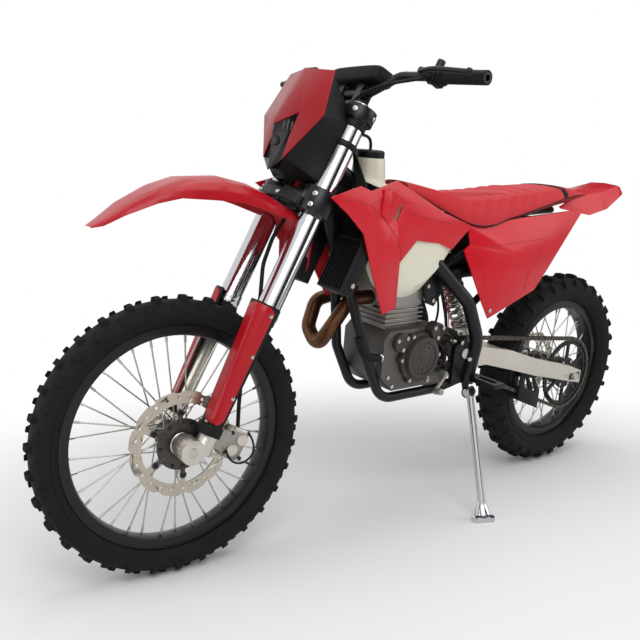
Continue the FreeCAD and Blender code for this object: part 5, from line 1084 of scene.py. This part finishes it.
def make_mask_details():
    """The cowl behind the lamp's mask, with the bars and the round lenses behind the lamp's dark glass."""
    cowl = walled(6, 30, cowl_point, 3.0, 0.8)
    finish(pair(cowl), "lamp_cowl", "steering", "moulded_black", (), 30)
    bars = joined([rod(low, high, 2.0, 12, 0.6) for low, high in LAMP_BARS])
    finish(pair(bars), "lamp_bars", "steering", "radiator_alloy")
    lens = rod(LENS_CENTRE - LENS_WAY * 4, LENS_CENTRE + LENS_WAY * 2.2, 13.0, 40, 1.0)
    finish(pair(lens), "lamp_lens", "steering", "anodised_black")


def make_fender_brace():
    """The black bow across the root of the front fender, before the lower clamp."""
    brace = walled(36, 6, brace_point, 5.0, 1.2)
    finish(brace, "fender_brace", "steering", "moulded_black", (), 40)
    screws = [((BRACE_BACK + BRACE_REACH * 0.8, side * 40, BRACE_LOW + BRACE_HEIGHT * 0.45), (1, side * 0.25, 0.3))
              for side in (1, -1)]
    make_bolts("fender_screws", screws, 6.0, 3.5, "steering")


def make_fork_details():
    """The caliper's caps, bolts and hose loop, the seals under the outer tubes and the clamps' pinch bolts."""
    caps = [rod(*cap) for cap in CALIPER_CAPS]
    finish(joined(caps), "caliper_caps", "steering", "satin_alloy")
    make_bolts("caliper_bolts", [(place, Y_AXIS) for place in CALIPER_BOLTS], 5.0, 4.0, "steering", "black_steel")
    finish(cable(CALIPER_LOOP, 2.6), "caliper_hose_loop", "steering", "black_rubber")
    for name, material, slot, low, high, radius, bevel in LEG_RINGS:
        ring = rod((LEG_FORWARD, LEG_LEFT, low), (LEG_FORWARD, LEG_LEFT, high), radius, 48, bevel)
        finish(pair(ring), name, "steering", material)
    bolts = [((x, side * y, z), (ahead, side * out, up)) for side in (1, -1)
             for (x, y, z), (ahead, out, up) in CLAMP_BOLTS]
    make_bolts("clamp_bolts", bolts, 6.5, 4.0, "steering")


# Chassis details, in the machine's upright frame

TANK_PLATE = ((1011.5, -45, 800), (1015, 45, 972), 1.2)
HEAD_STAY = [(706, 748), (744, 700), (728, 640), (694, 628), (668, 664), (666, 712)]
# Place and direction of the bolts on the left
FRAME_BOLTS = [((700, 74, 726), (0, 1, 0)), ((726, 74, 690), (0, 1, 0)), ((700, 74, 646), (0, 1, 0)),
               ((1065, 134, 724), (0, 1, 0)), ((1010, 134, 830), (0, 1, 0)), ((562, 119, 467), (0.6, 0.8, 0)),
               ((598, 112, 520), (0, 1, 0)), ((523, 136, 616), (0, 1, 0)), ((528, 90, 900), (0, 0.8, 0.6)),
               ((540, 120, 396), (0, 1, 0))]
COVER_RIM = [(704, 522), (692, 556), (648, 566), (606, 548), (588, 508), (600, 462), (640, 434), (684, 446),
             (704, 474)]
COVER_BARS = [((696, 540), (610, 460)), ((670, 560), (598, 488)), ((704, 500), (632, 440)), ((640, 562), (592, 520))]
COVER_RIM_RADIUS, COVER_BAR_RADIUS, COVER_BOSS_RADIUS = 4.5, 3.6, 7.0
COVER_BOSSES = [(692, 552), (610, 546), (640, 438)]
SPROCKET_COVER_PLACE = 94.0
# Where the flare starts and ends along the leg, and its radius there
STAND_FLARE = (15, 64, 25.0, 10.5)


def louvre_point(u, v):
    """A point of the ribbed sheet over a radiator's head, in the frame of the straight fork."""
    inner, outer = 42 - 40 * v, 106 - 94 * v
    ripple = 3.0 if round(u * 16) % 2 else 0.0
    return Vector((-106 + 28 * v + ripple, inner + (outer - inner) * u, 742 + 100 * v))


def make_frame_details():
    """Head stays, the bolts of frame and side panels, and the sheets before the tank and over the radiators."""
    finish(pair(flat_plate(HEAD_STAY, 68, 74, 1.5)), "head_stays", "chassis", "satin_black")
    right = [((x, -y, z), (way[0], -way[1], way[2])) for (x, y, z), way in FRAME_BOLTS]
    make_bolts("frame_bolts", FRAME_BOLTS + right, 6.5, 4.0, "chassis")
    louvre = walled(16, 8, louvre_point, 3.0, 0.5)
    finish(block(*TANK_PLATE), "tank_front_plate", "chassis", "moulded_black")
    finish(pair(louvre), "radiator_heads", "chassis", "moulded_black", (), 30, STRAIGHT_FORK)


def make_drive_details():
    """The ribbed sprocket cover, the rear sprocket's bolts and its bearing ring."""
    place = SPROCKET_COVER_PLACE
    bars = [cable([(x, place, z) for x, z in COVER_RIM + COVER_RIM[:2]], COVER_RIM_RADIUS, 4)]
    bars += [rod((x0, place, z0), (x1, place, z1), COVER_BAR_RADIUS, 12) for (x0, z0), (x1, z1) in COVER_BARS]
    bars += [rod((x, place - 10, z), (x, place + 4, z), COVER_BOSS_RADIUS, 24, 1.0) for x, z in COVER_BOSSES]
    finish(joined(bars), "sprocket_cover", "chassis", "moulded_black")
    make_bolts("sprocket_bolts", ring_of_bolts(ORIGIN, 77.2, 44, evenly(6)), 5.5, 3.2, "rear_wheel")
    finish(bevelled(turned(REAR_SEAL, 64), 0.6), "rear_hub_seal", "rear_wheel", "bronze_grey")


def make_stand_foot():
    """The flared end of the side stand's leg above its foot."""
    low, high, wide, narrow = STAND_FLARE
    mount = next(mount for mount in frame["record"]["mounts"] if mount["name"] == "stand_foot")
    foot = BIKE.inverted() @ Vector(mount["pos_m"])
    way = (BIKE.inverted() @ joint_line("side_stand_fold")[0] - foot).normalized()
    flare = rod(foot + way * low, foot + way * high, wide, 40, 1.5, narrow)
    finish(flare, "stand_flare", "side_stand", "fork_silver")


# Construction pieces that only need their finish, with the width of their rounded edges in metres
PLAIN_FINISHES = {
    "front_rim": ("anodised_black", 0.0006), "front_disc": ("disc_steel", 0.0),
    "rear_rim": ("anodised_black", 0.0006), "rear_disc": ("disc_steel", 0.0),
    "rear_sprocket": ("black_steel", 0.0), "fork_outer_tubes": ("fork_silver", 0.0004),
    "fork_lower_legs": ("satin_alloy", 0.0006), "front_axle": ("bright_steel", 0.0006),
    # The front fender takes the darker copy of the bodywork red and the headlight mask the darkest copy, both painted
    # shade
    "front_fender": ("shaded_red", 0.0008), "lower_clamp": ("anodised_black", 0.0015),
    "upper_clamp": ("anodised_black", 0.0015), "handlebar": ("anodised_black", 0.0),
    "grips": ("black_rubber", 0.0006), "lever_perches": ("satin_black", 0.0012),
    "mirror_bosses": ("satin_black", 0.001), "hand_levers": ("satin_black", 0.001),
    "headlight_mask": ("mask_shaded_red", 0.0008), "headlamp": ("smoked_lens", 0.001),
    "lamp_shell": ("moulded_black", 0.001), "front_caliper": ("cast_alloy", 0.0015),
    "front_brake_hose": ("black_rubber", 0.0), "main_frame": ("satin_black", 0.0015),
    "swingarm": ("satin_alloy", 0.002), "swingarm_pivot_bolt": ("bright_steel", 0.001),
    "rear_axle": ("bright_steel", 0.001), "rear_shock": ("bright_steel", 0.0006),
    "crankcase": ("dark_alloy", 0.002), "front_sprocket": ("black_steel", 0.0),
    "cylinder": ("cast_alloy", 0.0006), "cylinder_head": ("cast_alloy", 0.001),
    "throttle_body": ("moulded_black", 0.001), "header_pipe": ("heat_steel", 0.0),
    "silencer": ("satin_alloy", 0.001), "fuel_tank": ("cream_tank", 0.0015),
    "tank_cap": ("moulded_black", 0.0012), "shrouds": ("gloss_red", 0.0007),
    "side_panels": ("gloss_red", 0.0007), "radiators": ("moulded_black", 0.001),
    "radiator_guards": ("moulded_black", 0.0006), "rear_fender": ("gloss_red", 0.0008),
    "subframe": ("satin_black", 0.0), "airbox": ("moulded_black", 0.002),
    "footpegs": ("black_steel", 0.0006), "foot_levers": ("cast_alloy", 0.0012),
    "rear_caliper": ("cast_alloy", 0.0015), "chain_guide": ("moulded_black", 0.0012),
    "tail_light": ("red_lens", 0.001), "side_stand": ("fork_silver", 0.001),
}


def make_plain_pieces():
    """Every construction piece that has no model of its own, with finish and rounded edges."""
    for node, (material, width) in PLAIN_FINISHES.items():
        dressed(node, material, width)


# The stage

CAMERA_PLACE = Vector((2418.59, 1660.63, 1131.56))
CAMERA_LOOK = Vector((-0.61792, -0.74915, -0.23861))
CAMERA_LENS, CAMERA_SENSOR = 46.74, 36
FLOOR_SIZE, SHADOW_REACH = 90.0, 2.0
# Name, place, target, share of the main light's power, size
LIGHTS = [("key_light", (1.8, 2.6, 3.0), (0, 0, 0.6), 1.0, 2.2),
          ("top_light", (-0.3, 0.3, 3.6), (-0.1, 0, 0.5), 0.75, 3.0),
          ("left_fill", (-2.6, 2.2, 1.6), (0, 0, 0.6), 0.35, 2.0),
          ("front_fill", (3.2, -0.6, 1.4), (0.3, 0, 0.6), 0.3, 1.6)]
# Name, degrees about Z from the X axis, width
SCREENS = [("left_screen", 107, 2.4), ("right_screen", 7, 1.7), ("back_screen", 195, 2.6)]
SCREEN_DISTANCE, SCREEN_HEIGHT, SCREEN_MIDDLE = 4.6, 4.5, 1.4
# Colour and strength of the background, as light and as it shows
SKY = [((0.95, 0.97, 1.0, 1), 0.34), ((1, 1, 1, 1), 1.0)]


def aimed(piece, place, target):
    """Put an object in place, looking at a point."""
    piece.location = place
    piece.rotation_euler = (Vector(target) - Vector(place)).to_track_quat("-Z", "Y").to_euler()


def make_light(name, place, target, power, size):
    """A soft square light panel."""
    clear()
    bpy.ops.object.light_add(type="AREA")
    light = bpy.context.object
    light.name = name
    light.data.energy = power
    light.data.shape = "RECTANGLE"
    light.data.size = size
    light.data.size_y = size
    aimed(light, place, target)


def make_floor():
    """A pale floor that shows the shadow near the machine and turns plain white further out."""
    clear()
    bpy.ops.mesh.primitive_plane_add(size=FLOOR_SIZE)
    floor = bpy.context.object
    floor.name = "studio_floor"
    pale = Finish("studio_white", (0.95, 0.95, 0.95), 0.9, specular=0.0)
    pale.mottle(0.5, 0.005)
    ray = pale.node("LightPath", output=0)
    distance = pale.node("VectorMath", {"operation": "LENGTH"}, 1, Vector=pale.place)
    far = pale.node("MapRange", {"interpolation_type": "SMOOTHSTEP"}, Value=distance, From_Min=SHADOW_REACH * 0.4,
                    From_Max=SHADOW_REACH)
    white = pale.node("Emission", Color=(1, 1, 1, 1), Strength=1.0)
    mixer = pale.tree.nodes.new("ShaderNodeMixShader")
    pale.tree.links.new((far * ray).socket, mixer.inputs[0])
    pale.tree.links.new(pale.shader.outputs[0], mixer.inputs[1])
    pale.tree.links.new(white.socket, mixer.inputs[2])
    output = next(node for node in pale.tree.nodes if node.type == "OUTPUT_MATERIAL")
    pale.tree.links.new(mixer.outputs[0], output.inputs["Surface"])
    floor.data.materials.append(pale.material)


def make_dark_screens():
    """Three dark screens round the machine, which only draw the dark stripes on bright metal."""
    dark = Finish("studio_dark", (0.01, 0.01, 0.01), 0.9)
    dark.mottle(0.5, 0.01)
    for name, turn, width in SCREENS:
        clear()
        bpy.ops.mesh.primitive_plane_add(size=1)
        screen = bpy.context.object
        screen.name = name
        angle = math.radians(turn)
        screen.scale = (width, SCREEN_HEIGHT, 1)
        screen.location = (SCREEN_DISTANCE * math.cos(angle), SCREEN_DISTANCE * math.sin(angle), SCREEN_MIDDLE)
        screen.rotation_euler = (math.pi / 2, 0, angle + math.pi / 2)
        settle(screen)
        screen.data.materials.append(dark.material)
        for rays in ("camera", "diffuse", "shadow", "transmission"):
            setattr(screen, "visible_" + rays, False)


def make_world():
    """A white background that gives less light than it shows."""
    world = bpy.data.worlds.new("studio_sky")
    bpy.context.scene.world = world
    world.use_nodes = True
    tree = world.node_tree
    tree.nodes.clear()
    path = tree.nodes.new("ShaderNodeLightPath")
    camera, glossy, through = (Wire(tree, path.outputs["Is %s Ray" % kind])
                               for kind in ("Camera", "Glossy", "Transmission"))
    mixer = tree.nodes.new("ShaderNodeMixShader")
    lead(tree, camera.most(glossy).most(through), mixer.inputs[0])
    for slot, (colour, strength) in zip(mixer.inputs[1:], SKY):
        shade = tree.nodes.new("ShaderNodeBackground")
        shade.inputs["Color"].default_value = colour
        shade.inputs["Strength"].default_value = strength
        tree.links.new(shade.outputs[0], slot)
    output = tree.nodes.new("ShaderNodeOutputWorld")
    tree.links.new(mixer.outputs[0], output.inputs[0])


def make_camera():
    """The photograph's camera, placed from the machine itself."""
    clear()
    place = BIKE @ CAMERA_PLACE
    bpy.ops.object.camera_add(location=place)
    camera = bpy.context.object
    camera.name = "photo_camera"
    camera.data.lens = CAMERA_LENS
    camera.data.sensor_width = CAMERA_SENSOR
    aimed(camera, place, BIKE @ (CAMERA_PLACE + CAMERA_LOOK / MM))
    bpy.context.scene.camera = camera


def make_stage():
    """Floor, background, lights and camera."""
    make_floor()
    make_dark_screens()
    make_world()
    for name, place, target, share, size in LIGHTS:
        make_light(name, place, target, settings().lamp_power * share, size)
    make_camera()
    scene = bpy.context.scene
    scene.view_settings.view_transform = "Standard"
    scene.render.film_transparent = False


# The add-on's operators and its panel


class MixFinishes(bpy.types.Operator):
    """Make the machine's materials"""
    bl_idname = "motorcycle.finishes"
    bl_label = "Materials"

    def execute(self, context):
        make_materials()
        return {"FINISHED"}


class AddWheels(bpy.types.Operator):
    """Add tyres, hubs, spokes and disc bolts"""
    bl_idname = "motorcycle.wheels"
    bl_label = "Wheels"

    def execute(self, context):
        make_wheels()
        return {"FINISHED"}


class AddSeat(bpy.types.Operator):
    """Add the pleated seat"""
    bl_idname = "motorcycle.seat"
    bl_label = "Seat"

    def execute(self, context):
        make_seat()
        return {"FINISHED"}


class AddControls(bpy.types.Operator):
    """Add the bar pad, switches and cables, the lamp's cowl and the fender's brace"""
    bl_idname = "motorcycle.controls"
    bl_label = "Handlebar"

    def execute(self, context):
        make_bar_pad()
        make_controls()
        make_mask_details()
        make_fender_brace()
        return {"FINISHED"}


class AddForkGuards(bpy.types.Operator):
    """Add the fork guards with their red panels, and the fork's small parts"""
    bl_idname = "motorcycle.fork_guards"
    bl_label = "Fork guards"

    def execute(self, context):
        make_fork_guards()
        make_fork_details()
        return {"FINISHED"}


class AddChain(bpy.types.Operator):
    """Add the drive chain link by link, with the sprocket's cover and bolts"""
    bl_idname = "motorcycle.chain"
    bl_label = "Chain"

    def execute(self, context):
        make_chain()
        make_drive_details()
        return {"FINISHED"}


class AddEngineTrim(bpy.types.Operator):
    """Add the engine's covers, screws, hoses and wires, and the bodywork's and frame's trim"""
    bl_idname = "motorcycle.engine_trim"
    bl_label = "Engine"

    def execute(self, context):
        make_engine_trim()
        make_hoses()
        make_bodywork_lines()
        make_frame_details()
        make_stand_foot()
        return {"FINISHED"}


class AddPlainPieces(bpy.types.Operator):
    """Add every piece whose construction shape only needs its finish"""
    bl_idname = "motorcycle.plain_pieces"
    bl_label = "Remaining pieces"

    def execute(self, context):
        make_plain_pieces()
        return {"FINISHED"}


class AddStage(bpy.types.Operator):
    """Add floor, lights and camera"""
    bl_idname = "motorcycle.stage"
    bl_label = "Studio"

    def execute(self, context):
        make_stage()
        return {"FINISHED"}


OPERATORS = (MixFinishes, AddWheels, AddSeat, AddControls, AddForkGuards, AddChain, AddEngineTrim, AddPlainPieces,
             AddStage)


class MotorcyclePanel(bpy.types.Panel):
    """The machine's sizes, colours and pieces"""
    bl_idname = "VIEW3D_PT_motorcycle"
    bl_label = "Trail motorcycle"
    bl_space_type = "VIEW_3D"
    bl_region_type = "UI"
    bl_category = "Motorcycle"

    def draw(self, context):
        for name in MotorcycleSettings.__annotations__:
            self.layout.prop(context.scene.motorcycle, name)
        for operator in OPERATORS:
            self.layout.operator(operator.bl_idname)


def register():
    """Make the settings, the operators and the panel known."""
    for item in (MotorcycleSettings, *OPERATORS, MotorcyclePanel):
        bpy.utils.register_class(item)
    bpy.types.Scene.motorcycle = PointerProperty(type=MotorcycleSettings)


def unregister():
    """Take the panel, the operators and the settings away again."""
    del bpy.types.Scene.motorcycle
    for item in (MotorcyclePanel, *reversed(OPERATORS), MotorcycleSettings):
        bpy.utils.unregister_class(item)


def main():
    """Build the motorcycle and the stage, piece by piece."""
    register()
    bpy.context.scene.unit_settings.system = "METRIC"
    for leftover in list(bpy.data.objects):
        if leftover.name in ("Cube", "Light", "Camera"):
            bpy.data.objects.remove(leftover)
    for operator in OPERATORS:
        group, name = operator.bl_idname.split(".")
        getattr(getattr(bpy.ops, group), name)()


if __name__ == "__main__":
    main()
